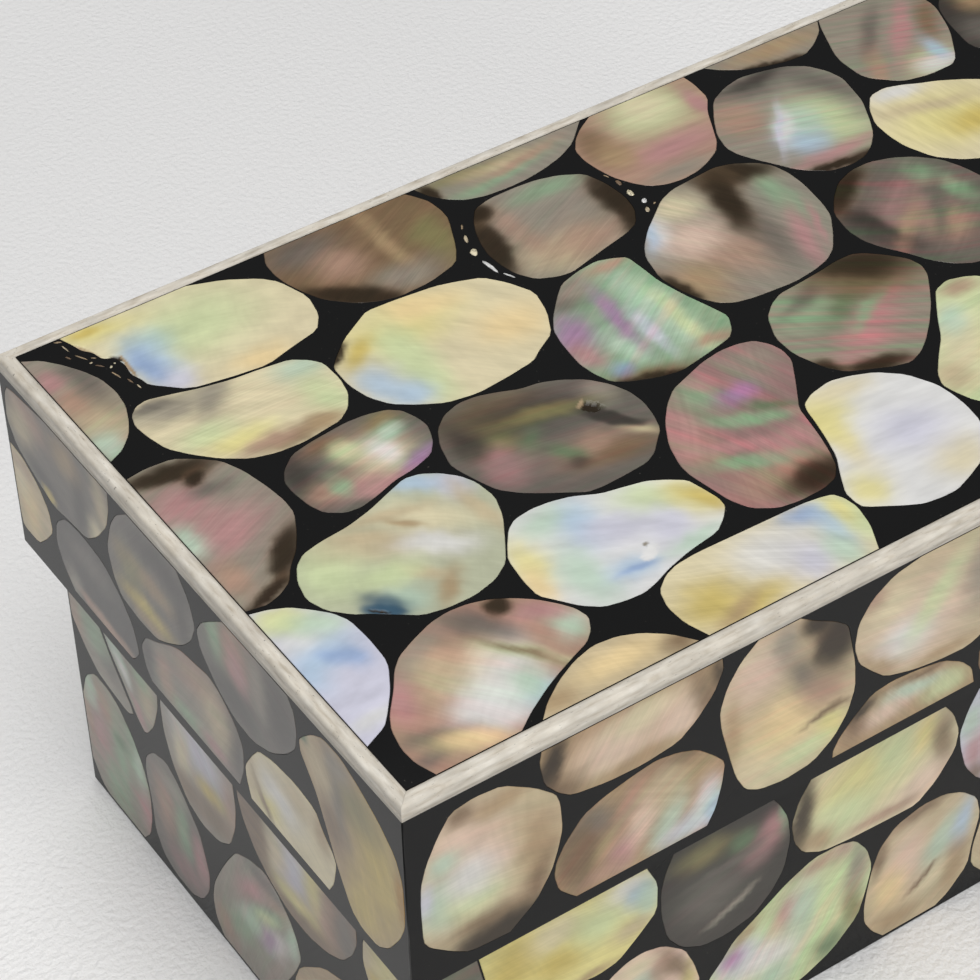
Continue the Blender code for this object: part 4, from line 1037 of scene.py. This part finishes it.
LID_LEFT_DRAWN = [
    [(0.7, 22), (0.9, 30), (3, 35.5), (8, 40), (14, 43.5), (20, 46), (26, 46), (30, 43.5), (33.5, 40),
        (35, 38), (34.8, 35), (32, 31), (30, 28), (27, 20.5), (24.5, 13), (20, 5), (16.5, 3.1), (11, 3.2),
        (7, 6.5), (3, 13), (1, 18)],
    [(35.5, 39), (36, 44), (38, 47), (61, 47), (66, 43), (70, 39.5), (72.2, 36), (71.5, 31.5), (66, 25.5),
        (60, 22), (53, 21.5), (46, 24.5), (40, 29.5), (36.5, 34)],
    [(72.5, 36), (74, 42), (78, 47), (97, 47), (102, 43), (105, 38.5), (108, 30), (106.5, 23), (104, 19.5),
        (97, 18.4), (90, 18.8), (85, 21.5), (79, 26), (75, 30.5)],
    [(104.5, 47), (105, 42), (107, 36), (112, 29.5), (117, 25), (124, 23), (131, 23.2), (139, 26),
        (146, 29.5), (149, 35), (148.2, 42), (146.5, 45), (130, 47)],
    [(134, 14), (138, 9), (142, 5), (148.8, 5), (149.5, 10), (149.5, 28), (144, 27.5), (138, 24),
        (134.5, 19.5)],
    [(24.3, 13), (26, 6.5), (28.5, 2), (56, 2), (57.5, 8), (57.5, 11.5), (54.5, 16.5), (51.5, 20.5),
        (46, 22.5), (38, 23.5), (31, 22.5), (28.5, 18.5), (25.5, 15.5)],
    [(57.5, 16), (58.2, 9), (61, 2), (94, 2), (97, 6), (97.8, 11), (95.5, 15), (90, 18), (84, 22), (80, 24),
        (74, 25), (69, 26), (65, 24.5), (60, 20.5)],
    [(99, 7.5), (101.5, 4), (104, 2), (126, 2), (131, 8), (132.8, 13), (131.5, 19), (127, 24), (120, 25.5),
        (111, 23.5), (104.5, 19), (100.5, 14)],
]


LONG_ROOM = 0.0012  # between the shells of a long side and the backs of those round the corner
CORNER_ROOM = 0.0007  # between the shells of a short side and the corner


def side_faces(inset, foot, low, high):
    """The front, back, left and right: their matrix, outward direction and field that shells may cover."""
    x, y = HALF_LONG, HALF_WIDE
    margin = inset + SHELL_THICK + LONG_ROOM
    long_field = ((margin, low), (2 * x - margin, high))
    short_field = ((inset + CORNER_ROOM, low), (2 * y - inset - CORNER_ROOM, high))
    return [
        ("front", face_matrix(Vector((-x, inset - y, foot)), X, Z), -Y, long_field),
        ("back", face_matrix(Vector((-x, y - inset, foot)), X, Z), Y, long_field),
        ("left", face_matrix(Vector((inset - x, -y, foot)), Y, Z), -X, short_field),
        ("right", face_matrix(Vector((x - inset, -y, foot)), Y, Z), X, short_field),
    ]


def counter_clockwise(outline):
    """The outline in the order that offset needs, whichever way round it was drawn."""
    area = sum(ax * by - bx * ay for (ax, ay), (bx, by) in zip(outline, outline[1:] + outline[:1]))
    return outline if area > 0 else outline[::-1]


def set_shells(part, faces, long_rows, short_rows, front, left, seed):
    """Makes the shells of four sides, one piece a side, and returns their outlines."""
    holes = []
    for side, (name, place, out, field) in enumerate(faces):
        rows = long_rows if side < 2 else short_rows
        looks, drawn = [front, ([], []), left, ([], [])][side]
        if side % 2:
            (low_x, low_y), (high_x, high_y) = field
            wide, tall = (low_x + high_x) * 1000, (low_y + high_y) * 1000
            rows = [(wide - row[0], tall - row[1], row[2], row[3], row[4] + 180, *row[5:]) for row in rows]
        chance = random.Random(seed + side)
        outlines = [counter_clockwise([(x / 1000, y / 1000) for x, y in points]) for points in drawn]
        outlines += [pebble(row, chance) for row in rows[len(drawn) :]]
        outlines = [trimmed(outline, field) for outline in ground_to_fit(outlines)]
        outlines = [softened(outline, field, 1) for outline in outlines]
        shape = bmesh.new()
        for number, (row, outline) in enumerate(zip(rows, outlines)):
            if number < len(looks):
                look = looks[number]
            else:
                look = plain_look(seed + side * 5 + number * 3, row[0], row[1], row[2] / 2, chance)
            add_shell(shape, place, out, outline, look, seed * 7 + side * 31 + number, SIDE_STEP)
        piece = f"nacre_{part}_{name}"
        put_mesh(piece, finished_mesh(piece, shape), nacre, "nacre", f"{part}_{name}_shells")
        holes.append(outlines)
    return holes


SIDE_STEP = 0.0012
LID_BORDER = 0.0030  # resin below the lowest shells
EDGING_ROOM = 0.0003  # resin between the highest ones and the bone
LID_SHOWS = HEIGHT - LID_FOOT - STRIP_TALL  # the sides' height under the bone
lid_faces = side_faces(0, LID_FOOT, LID_BORDER, LID_SHOWS - EDGING_ROOM)
lid_front, lid_left = (LID_FRONT_LOOKS, LID_FRONT_DRAWN), (LID_LEFT_LOOKS, LID_LEFT_DRAWN)
lid_holes = set_shells("lid", lid_faces, LID_LONG_SHELLS, LID_SHORT_SHELLS, lid_front, lid_left, 2)

# Black resin of the lid
# Poured between the shells and polished level with them, so it shines like a piano, with a little dust and
# soft wear. It is a skin over the wood with an opening for each shell, and its corners are slightly round.
RESIN_DROP = 0.00003  # polishing takes a little more of the soft resin than of the shells
CORNER_RADIUS = 0.0003
CORNER_PARTS = 6

DUST_MM = 0.625
WEAR_PER_METRE = 60.0
polished_resin, tree, shader = new_material("polished_black_resin")
place = add(tree, "TexCoord")
dust = add(tree, "TexNoise", {"Scale": 1000 / DUST_MM, "Detail": 1.0}, {"Vector": place.outputs["Object"]})
speck = add(tree, "MapRange", {"From Min": 0.77, "From Max": 0.84}, {"Value": dust.outputs["Fac"]})
tone = add(tree, "ValToRGB", links={"Fac": speck.outputs[0]})
tone.color_ramp.elements[0].color = linear("#191919")
tone.color_ramp.elements[1].color = linear("#45423e")
tree.links.new(tone.outputs["Color"], shader.inputs["Base Color"])
wear = add(tree, "TexNoise", {"Scale": WEAR_PER_METRE, "Detail": 4.0}, {"Vector": place.outputs["Object"]})
sheen = {"From Min": 0.35, "From Max": 0.75, "To Min": 0.08, "To Max": 0.20}
gloss = add(tree, "MapRange", sheen, {"Value": wear.outputs["Fac"]})
tree.links.new(gloss.outputs[0], shader.inputs["Roughness"])
shader.inputs["IOR"].default_value = 1.19


def sheet_with_holes(shape, border, holes, front_at, back_at):
    """Adds a sheet with holes, given as outlines. front_at and back_at place a point on its two faces."""
    points, edges, rings = [], [], []
    for ring in [border, *holes]:
        start = len(points)
        points += ring
        indices = list(range(start, len(points)))
        rings.append(indices)
        edges += list(zip(indices, indices[1:] + indices[:1]))
    flat, _, faces, *_ = delaunay_2d_cdt([Vector(p) for p in points], edges, [], 1, 1e-9)
    front = [shape.verts.new(front_at(p[0], p[1])) for p in flat]
    back = [shape.verts.new(back_at(p[0], p[1])) for p in flat]
    ring_of = {i: number for number, ring in enumerate(rings) for i in ring}
    for face in faces:
        numbers = {ring_of[i] for i in face}
        number = numbers.pop()
        if not numbers and number and inside(middle_of([flat[i] for i in face]), holes[number - 1]):
            continue
        shape.faces.new([front[i] for i in face])
        shape.faces.new([back[i] for i in reversed(face)])
    return front, back, rings


def walls(shape, front, back, ring):
    """Closes a sheet along one ring of its border or of a hole."""
    for i, j in zip(ring, ring[1:] + ring[:1]):
        shape.faces.new((front[i], back[i], back[j], front[j]))


OPENING_STEP = 0.004
top_resin = bmesh.new()
low = STRIP_WIDE + FILM
far_x, far_y = 2 * HALF_LONG - low, 2 * HALF_WIDE - low
border = [(low, low), (far_x, low), (far_x, far_y), (low, far_y)]
front, back, rings = sheet_with_holes(
    top_resin,
    border,
    [divided(offset(outline, FILM), OPENING_STEP) for outline in top_outlines + chip_outlines],
    lambda x, y: top_place @ Vector((x, y, -RESIN_DROP)),
    lambda x, y: top_place @ Vector((x, y, -SHELL_THICK)),
)
for ring in rings:
    walls(top_resin, front, back, ring)
put_mesh("lid_top_resin", finished_mesh("lid_top_resin", top_resin), polished_resin, "black_resin_case")


def side_skin(name, inset, faces, holes, low, high):
    """Resin round four sides, from one height to another above the faces' lower edge."""
    shape = bmesh.new()
    round_at, inner_at = inset + CORNER_RADIUS, inset + SHELL_THICK
    for (_, place, out, _), outlines in zip(faces, holes):
        length = 2 * (HALF_WIDE if abs(out.x) > 0.5 else HALF_LONG)
        border = [(round_at, low), (length - round_at, low), (length - round_at, high), (round_at, high)]

        def front_at(x, y, place=place, out=out):
            return place @ Vector((x, y, 0)) - out * RESIN_DROP

        def back_at(x, y, place=place, out=out, length=length):
            if x < round_at + 1e-7 or x > length - round_at - 1e-7:
                x = inner_at if x < length / 2 else length - inner_at
            return place @ Vector((x, y, 0)) - out * SHELL_THICK

        openings = [offset(outline, FILM) for outline in outlines]
        front, back, rings = sheet_with_holes(shape, border, openings, front_at, back_at)
        for ring in rings[1:]:
            walls(shape, front, back, ring)
        for i, j in ((0, 1), (2, 3)):
            shape.faces.new((front[i], back[i], back[j], front[j]))
    foot = faces[0][1].translation.z
    x, y = HALF_LONG - inset - CORNER_RADIUS, HALF_WIDE - inset - CORNER_RADIUS
    reach = CORNER_RADIUS - RESIN_DROP
    for side_x, side_y in ((-1, -1), (1, -1), (1, 1), (-1, 1)):
        columns = []
        for part in range(CORNER_PARTS + 1):
            angle = math.pi / 2 * part / CORNER_PARTS
            at = (side_x * (x + reach * math.cos(angle)), side_y * (y + reach * math.sin(angle)))
            columns.append([shape.verts.new((*at, foot + height)) for height in (low, high)])
        core_at = (side_x * (HALF_LONG - inner_at), side_y * (HALF_WIDE - inner_at))
        core = [shape.verts.new((*core_at, foot + height)) for height in (low, high)]
        for here, there in zip(columns, columns[1:]):
            shape.faces.new((here[0], there[0], there[1], here[1])).smooth = True
            for end in (0, 1):
                shape.faces.new((here[end], there[end], core[end]))
    bmesh.ops.remove_doubles(shape, verts=shape.verts, dist=1e-7)
    put_mesh(name, mesh_of(name, shape), polished_resin, "black_resin_case")


side_skin("lid_side_resin", 0, lid_faces, lid_holes, 0, LID_SHOWS - 2 * FILM)

# Bone edging of the lid
# Four strips of bone, glued on and mitred at the corners, with their upper edge sanded round by hand. Bone
# is cream with straight grey streaks and dark pores along it, and it is a little matt.
BONE_ROUND = 0.0007
BONE_STEP = 0.003
INNER_EASE = (0.0001, 0.0003)  # the small bevel along the top's resin
RIDGE_WEAR, CHATTER, MITRE_WEAR = 0.00005, 0.00003, 0.00002  # in long waves, in short ones and at the ends
STREAKS_MM = (5.0, 0.9)  # along the strip and across it
BLOTCHES_MM = (7.0, 2.2)
PORES_MM = (0.9, 0.22)
BONE_COLOURS = ((0.28, "#b3a896"), (0.44, "#c9c1b3"), (0.56, "#cfc8bb"), (0.72, "#dbd5ca"))
bone, tree, shader = new_material("bone")
flow = add(tree, "Attribute", {"attribute_name": "flow"})
streak = stretched_noise(tree, flow.outputs["Vector"], STREAKS_MM, 5.0)
colour = add(tree, "ValToRGB", {"stops": BONE_COLOURS}, {"Fac": streak.outputs["Fac"]})
blotch = stretched_noise(tree, flow.outputs["Vector"], BLOTCHES_MM, 3.0)
blotched = softly(tree, blotch.outputs["Fac"], 0.80, 1.05)
pores = stretched_noise(tree, flow.outputs["Vector"], PORES_MM, 1.0)
dark = {"From Min": 0.70, "From Max": 0.76, "To Min": 1.0, "To Max": 0.45}
pore = add(tree, "MapRange", dark, {0: pores.outputs["Fac"]})
shade = add(tree, "Math", {"operation": "MULTIPLY"}, {0: pore.outputs[0], 1: blotched})
across = add(tree, "SeparateXYZ", links={0: flow.outputs["Vector"]})
stain = {"From Min": STRIP_WIDE * 0.8, "From Max": STRIP_WIDE, "To Min": 1.0, "To Max": 0.74}
glue = add(tree, "MapRange", stain, {0: across.outputs[1]})
shade = add(tree, "Math", {"operation": "MULTIPLY"}, {0: shade.outputs[0], 1: glue.outputs[0]})
faded = {0: colour.outputs["Color"], "Scale": shade.outputs[0]}
aged = add(tree, "VectorMath", {"operation": "SCALE"}, faded)
tree.links.new(aged.outputs[0], shader.inputs["Base Color"])
relief = add(tree, "Bump", {"Strength": 0.4, "Distance": 0.00006}, {"Height": streak.outputs["Fac"]})
tree.links.new(relief.outputs["Normal"], shader.inputs["Normal"])
shader.inputs["Roughness"].default_value = 0.5


def bone_section():
    """The strip's section as (inset from the edge, depth below the top), from its outer foot upwards."""
    section = [(0.0, STRIP_TALL), (0.0, STRIP_TALL * 0.6), (0.0, STRIP_TALL * 0.35)]
    for part in range(5):
        angle = math.pi / 2 * part / 4
        section.append((BONE_ROUND * (1 - math.cos(angle)), BONE_ROUND * (1 - math.sin(angle))))
    near, far = INNER_EASE
    section.append((STRIP_WIDE * 0.55, 0.0))
    section += [(STRIP_WIDE - far, 0.0), (STRIP_WIDE - near, near), (STRIP_WIDE, far)]
    section.append((STRIP_WIDE, STRIP_TALL))
    return section


def bone_strip(side, seed):
    """One strip, a little worn along its ridge, with its ends at the slant of the mitre."""
    place, right, into, length = {
        "front": (Vector((-HALF_LONG, -HALF_WIDE, HEIGHT)), X, Y, 2 * HALF_LONG),
        "back": (Vector((HALF_LONG, HALF_WIDE, HEIGHT)), -X, -Y, 2 * HALF_LONG),
        "left": (Vector((-HALF_LONG, HALF_WIDE, HEIGHT)), -Y, X, 2 * HALF_WIDE),
        "right": (Vector((HALF_LONG, -HALF_WIDE, HEIGHT)), Y, -X, 2 * HALF_WIDE),
    }[side]
    section = bone_section()
    shape = bmesh.new()
    flow = shape.verts.layers.float_vector.new("flow")
    rings = []
    parts = round(length / BONE_STEP)
    for part in range(parts + 1):
        ring = []
        for inset, depth in section:
            along = inset + FILM + (length - 2 * inset - 2 * FILM) * part / parts
            wave = noise.noise(Vector((along * 55, seed, 3.1))) * 0.5 + 0.5
            chatter = noise.noise(Vector((along * 160, inset * 900, seed))) * 0.5 + 0.5
            worn = RIDGE_WEAR * wave + CHATTER * chatter if 0 < part < parts else MITRE_WEAR
            dip = worn if depth < STRIP_TALL * 0.3 else 0.0
            lean = worn * 0.6 if inset < STRIP_WIDE * 0.2 and depth < STRIP_TALL * 0.9 else 0.0
            at = place + right * along + into * (inset + lean) - Z * (depth + dip)
            vert = shape.verts.new(at)
            vert[flow] = (along, inset + depth, seed * 0.61)
            ring.append(vert)
        rings.append(ring)
    for here, there in zip(rings, rings[1:]):
        for i in range(len(section)):
            shape.faces.new((here[i], there[i], there[i - 1], here[i - 1]))
    shape.faces.new(rings[0])
    shape.faces.new(rings[-1][::-1])
    name = f"bone_edging_{side}"
    put_mesh(name, finished_mesh(name, shape, 35), bone, "bone", f"bone_strip_{side}")


for seed, side in enumerate(("front", "back", "left", "right"), 5):
    bone_strip(side, seed)

# Wooden case of the base
# A plain open box of the same black painted wood, which stands on its own underside.
BASE_WALL = 0.0060
BASE_FLOOR = 0.0060
BASE_TOP = base_high.z
base_section = [(SKIN, 0.0), (SKIN, BASE_TOP), (BASE_WALL, BASE_TOP), (BASE_WALL, BASE_FLOOR)]
base_case = stepped_box("base_case", base_high.x, base_high.y, base_section)
put_mesh("base_case", base_case, painted_wood, "black_resin_case", "base")

# Shells of the base's sides
# They run up a little behind the lid's edge, and are smaller at the corners. y is measured from the table.
BASE_LONG_SHELLS = [
    (40, 59, 44, 36, -15),
    (77.3, 50.5, 41, 32.5, 88),
    (116, 57, 44, 37, 5),
    (97, 20.5, 48, 34, 40),
    (130.5, 18, 40, 31, 80),
    (55, 21, 37, 35, 0),
    (154, 52, 40, 33, -70),
    (21, 19, 42, 31, 60),
    (163, 16, 38, 33, 40),
    (189, 54, 41, 36, 20),
    (198, 18, 40, 34, -20),
    (228, 52, 42, 37, 80),
    (234, 15, 36, 32, 10),
    (265, 56, 38, 36, -20),
    (267, 21, 40, 33, 60),
    (292, 45, 44, 24, 90),
    (291, 8, 24, 20, 30),
    (11, 52, 40, 17, 85),
]
BASE_SHORT_SHELLS = [
    (130.5, 20, 42, 30.5, 85),
    (103, 21, 38, 25.5, 80),
    (90, 51.5, 38, 30, 90),
    (117.5, 58, 36, 20, 65),
    (135, 55, 32, 22, 50),
    (51.5, 56.5, 45, 37, 0),
    (71, 20.5, 47, 31, -60),
    (15, 56, 31, 29, 90),
    (34.5, 20, 43, 32, -28),
]
BASE_FRONT_LOOKS = [
    ("lemon", 30, 0.5, 0.0, [("gold", 26, 57, 6, 7), ("cream", 36, 60, 6, 4), ("gold", 37, 51, 6, 4),
        ("lime", 46, 56, 6, 5, -30), ("white", 53, 62, 5, 3), ("sky", 56, 58, 4, 3), ("mint", 58, 55, 3, 5),
        ("lemon", 48, 45, 6, 3), ("beige", 54, 49, 4, 3), ("tan", 44, 42, 6, 1.4)]),
    ("coal", 60, 0.7, 0.2, [("smoke", 74, 46, 8, 7), ("olive", 72, 60, 6, 3), ("mauve", 85, 53, 4, 5),
        ("pink", 89, 56, 3, 4), ("green", 92, 59, 1.6, 5), ("moss", 81, 58, 3, 3),
        ("grey", 79, 39.5, 7, 0.9, 25, 2), ("smoke", 77, 53, 8, 1, 10)]),
    ("cream", 84, 0.6, 0.1, [("lemon", 112, 57, 12, 8), ("lime", 108, 49, 8, 6), ("lime", 120, 58, 5, 8),
        ("lemon", 128, 60, 3, 5), ("brown", 133, 55, 3, 9), ("blush", 128, 45, 7, 4, 20),
        ("rose", 118, 41.5, 9, 1.6), ("umber", 96, 53, 2.6, 11, -6, 1.8), ("tan", 101, 45, 5, 3, -30)]),
    ("lime", 80, 0.9, 0.35, [("lilac", 82, 20, 6, 6), ("magenta", 80, 21, 3, 3), ("white", 90, 16, 7, 5),
        ("pink", 94, 28, 3, 6), ("rose", 100, 37, 5, 3), ("pink", 107, 37, 3, 3), ("mint", 98, 26, 4, 8),
        ("grey", 112, 29, 3.4, 8), ("lime", 106, 22, 3, 12), ("olive", 112, 16, 3, 7),
        ("moss", 106, 9, 4, 4), ("mint", 91, 8, 5, 4), ("tan", 83, 28, 5, 2, 40)]),
    ("beige", 70, 0.6, 0.1, [("blush", 126, 22, 5, 8), ("peach", 122, 16, 4, 6),
        ("mint", 136, 22, 4, 7, -20), ("sky", 141, 24, 2.4, 7, -10), ("brown", 128, 36, 8, 2.4, 10),
        ("brown", 118, 28, 2, 5), ("cream", 134, 12, 5, 3, 30), ("tan", 140, 12, 3, 8),
        ("brown", 131, 13.5, 5, 0.9, 35, 2), ("tan", 124, 5, 6, 3)]),
    ("blush", 40, 0.5, 0.1, [("cream", 55, 36, 5, 4), ("mint", 58, 31, 4, 3), ("rose", 62, 33, 3, 6),
        ("lemon", 69, 24, 2, 5), ("brown", 66, 30, 2, 6, 30), ("peach", 50, 24, 8, 5)]),
    ("lilac", 60, 0.3, 0.1, [("white", 150, 48, 6, 8), ("pink", 142, 46, 3, 6), ("mint", 140, 56, 3, 5),
        ("brown", 143, 38, 3, 4), ("beige", 155, 60, 6, 5)]),
]
BASE_FRONT_DRAWN = [
    [(16.5, 70), (16.5, 61), (19, 56), (24, 50), (31, 45), (40, 41.5), (46, 40.6), (51, 41.5), (56, 46),
        (60.3, 50.5), (60.3, 58.5), (57.5, 64.7), (56, 70)],
    [(61, 55), (61.3, 48), (63, 40), (66.5, 34.5), (72, 31.5), (78, 31), (85, 32.5), (89.5, 37), (92.3, 42),
        (93.5, 50), (92.5, 57), (90, 62.5), (87.5, 66), (85, 70), (66, 70), (64, 65), (62, 60)],
    [(93.5, 54), (94.5, 48), (97, 43.5), (102, 40.5), (110, 39.5), (120, 39), (127, 38.8), (132, 43),
        (136.5, 50), (137, 55), (135, 61), (131.5, 66), (129, 70), (100, 70), (98, 65), (95, 60)],
    [(74, 19.5), (77, 23), (80, 27.5), (86, 31.5), (93, 36.5), (100, 39.8), (107, 40), (111, 38),
        (114.5, 33), (116.5, 27), (116, 20), (113.5, 13), (107, 6), (99, 2), (92, 1), (80, 1.5), (73, 6),
        (71, 12)],
    [(115, 14), (115.2, 20), (116, 26), (118, 31), (122, 35.5), (129, 37.5), (135, 37), (140, 34.5),
        (144.5, 30), (146, 24), (146, 16), (144, 9), (139, 3), (134, 0), (122, 0), (118, 4.5), (115.5, 9)],
    [(49, 37.5), (53, 39.5), (57, 40), (62, 38.5), (67.5, 33.5), (70, 27.5), (71.8, 21), (70, 12), (64, 5),
        (55, 2), (45, 3), (38, 10), (37, 20), (40, 30)],
    [(138, 49), (137.2, 54), (139, 60), (141.5, 65), (144, 70), (165, 70), (170, 60), (171, 50), (168, 40),
        (160, 34), (150, 33), (144, 36), (140, 42)],
]
BASE_LEFT_LOOKS = [
    ("grey", 60, 0.8, 0.3, [("green", 121, 29, 4, 8), ("mint", 119, 25, 2, 6), ("rose", 133, 33, 5, 5),
        ("pink", 137, 22, 4, 8), ("green", 128, 20, 3, 14), ("moss", 127, 27, 3, 2),
        ("pink", 118, 12, 3, 7), ("green", 133, 8, 4, 7), ("rose", 142, 24, 1.6, 9),
        ("mint", 140, 33, 3, 5)]),
    ("smoke", 70, 0.7, 0.2, [("green", 101, 22, 3, 9), ("rose", 108, 24, 4, 9), ("pink", 94, 18, 3, 7),
        ("grey", 104, 32, 6, 3), ("mauve", 102, 9, 7, 4)]),
    ("grey", 88, 0.5, 0.1, [("rose", 78, 50, 3, 9), ("white", 91, 60, 9, 7), ("lilac", 90, 55, 8, 6),
        ("gold", 86, 47, 5, 3), ("cream", 97, 50, 3, 8), ("brown", 85, 40, 7, 4), ("brown", 97, 39, 6, 4)]),
    ("grey", 60, 0.6, 0.2, [("beige", 111, 55, 3, 7), ("mint", 123, 57, 6, 2.4, 50, 2),
        ("white", 121, 54, 4, 1.2, 50), ("pink", 115, 46, 4, 1.6, 60), ("green", 113, 59, 3, 4)]),
    ("grey", 50, 0.6, 0.1, [("smoke", 127, 50, 5, 4, 40), ("rose", 141, 54, 3, 6),
        ("green", 133, 55, 6, 5)]),
    ("brown", 60, 0.6, 0.1, [("smoke", 33, 53, 4, 9), ("rose", 41, 52, 4, 8), ("white", 52, 57, 7, 9),
        ("lilac", 54, 53, 5, 6), ("lemon", 45, 57, 3, 8), ("cream", 60, 54, 4, 7), ("lemon", 52, 45, 7, 3),
        ("brown", 67, 54, 4, 9), ("brown", 48, 40.5, 9, 2.4)]),
    ("grey", -40, 0.8, 0.3, [("smoke", 66, 39, 8, 3), ("rose", 60, 34, 5, 3), ("mint", 55, 29, 2.4, 5),
        ("green", 64, 29, 8, 2.4, -40), ("pink", 72, 30, 7, 3, -40), ("white", 62, 22, 6, 3, -40),
        ("magenta", 66, 20, 5, 2.4, -40), ("mint", 73, 20, 6, 3, -40), ("green", 78, 13, 7, 4, -30),
        ("rose", 85, 8, 4, 5), ("lime", 66, 26, 5, 1.6, -40)]),
    ("beige", 60, 0.5, 0.0, [("lemon", 18, 56, 5, 8), ("gold", 22, 50, 4, 3)]),
]
BASE_LEFT_DRAWN = [
    [(115, 20), (117, 27), (121, 34), (126, 39), (130, 40.5), (136, 40.5), (141, 36), (144, 28),
        (144.6, 18), (144, 8), (140, 2), (134, 0), (122, 0), (118, 5), (116, 12)],
    [(91.5, 22), (93, 28), (97.5, 33.5), (101, 37), (105.5, 39.5), (111, 37.5), (115, 33), (116, 28),
        (114.8, 18), (115, 10), (112, 4), (107, 2), (100, 2), (95, 5), (91.5, 11), (90.5, 17)],
    [(75, 58), (74.8, 52), (76, 45), (79, 37.5), (84, 33.8), (91, 32.8), (97, 35), (102, 42), (104.5, 50),
        (104.6, 58), (103, 66), (100, 70), (78, 70), (75.5, 66)],
    [(105.5, 59), (106, 55), (109, 47), (112.5, 42), (114, 41), (117, 43.5), (121, 49), (126, 55),
        (129.5, 61), (132, 70), (107, 70), (105.3, 65)],
    [(118, 43), (121, 40.8), (128, 41.5), (134, 42.5), (139, 46.5), (143.5, 52), (144.8, 60), (144.8, 70),
        (134, 70), (131, 61), (126, 53)],
    [(28.7, 60), (28.8, 55), (31, 49.5), (35, 44), (41, 40.5), (48, 38.5), (56, 38.7), (63, 42), (68, 46),
        (72, 52), (73.5, 57), (73.5, 63), (70, 70), (31, 70), (29, 65)],
    [(52.3, 27), (53.5, 32), (56, 36.5), (60, 40.5), (65, 42.3), (71, 40.5), (77, 37), (81, 31), (85, 24),
        (88.5, 17), (90, 11), (89.5, 5), (86, 0), (72, 0), (66, 4), (60, 12), (55, 20)],
    [(8, 45), (14, 42), (20, 43), (25, 47), (27, 52), (26.5, 59), (23, 66), (20, 70), (9, 70), (6.7, 60)],
]
BASE_BORDER = 0.0010  # resin below the lowest shells
BELT_TALL = 0.0034  # how far the shells run up behind the lid's edge
base_faces = side_faces(OVERHANG, 0, BASE_BORDER, LID_FOOT + BELT_TALL)
base_front, base_left = (BASE_FRONT_LOOKS, BASE_FRONT_DRAWN), (BASE_LEFT_LOOKS, BASE_LEFT_DRAWN)
base_holes = set_shells("base", base_faces, BASE_LONG_SHELLS, BASE_SHORT_SHELLS, base_front, base_left, 20)

# Black resin of the base
# The same skin, from just above the table up behind the lid's edge to the rim.
TABLE_ROOM = 0.0003
side_skin("base_side_resin", OVERHANG, base_faces, base_holes, TABLE_ROOM, BASE_TOP - FILM)
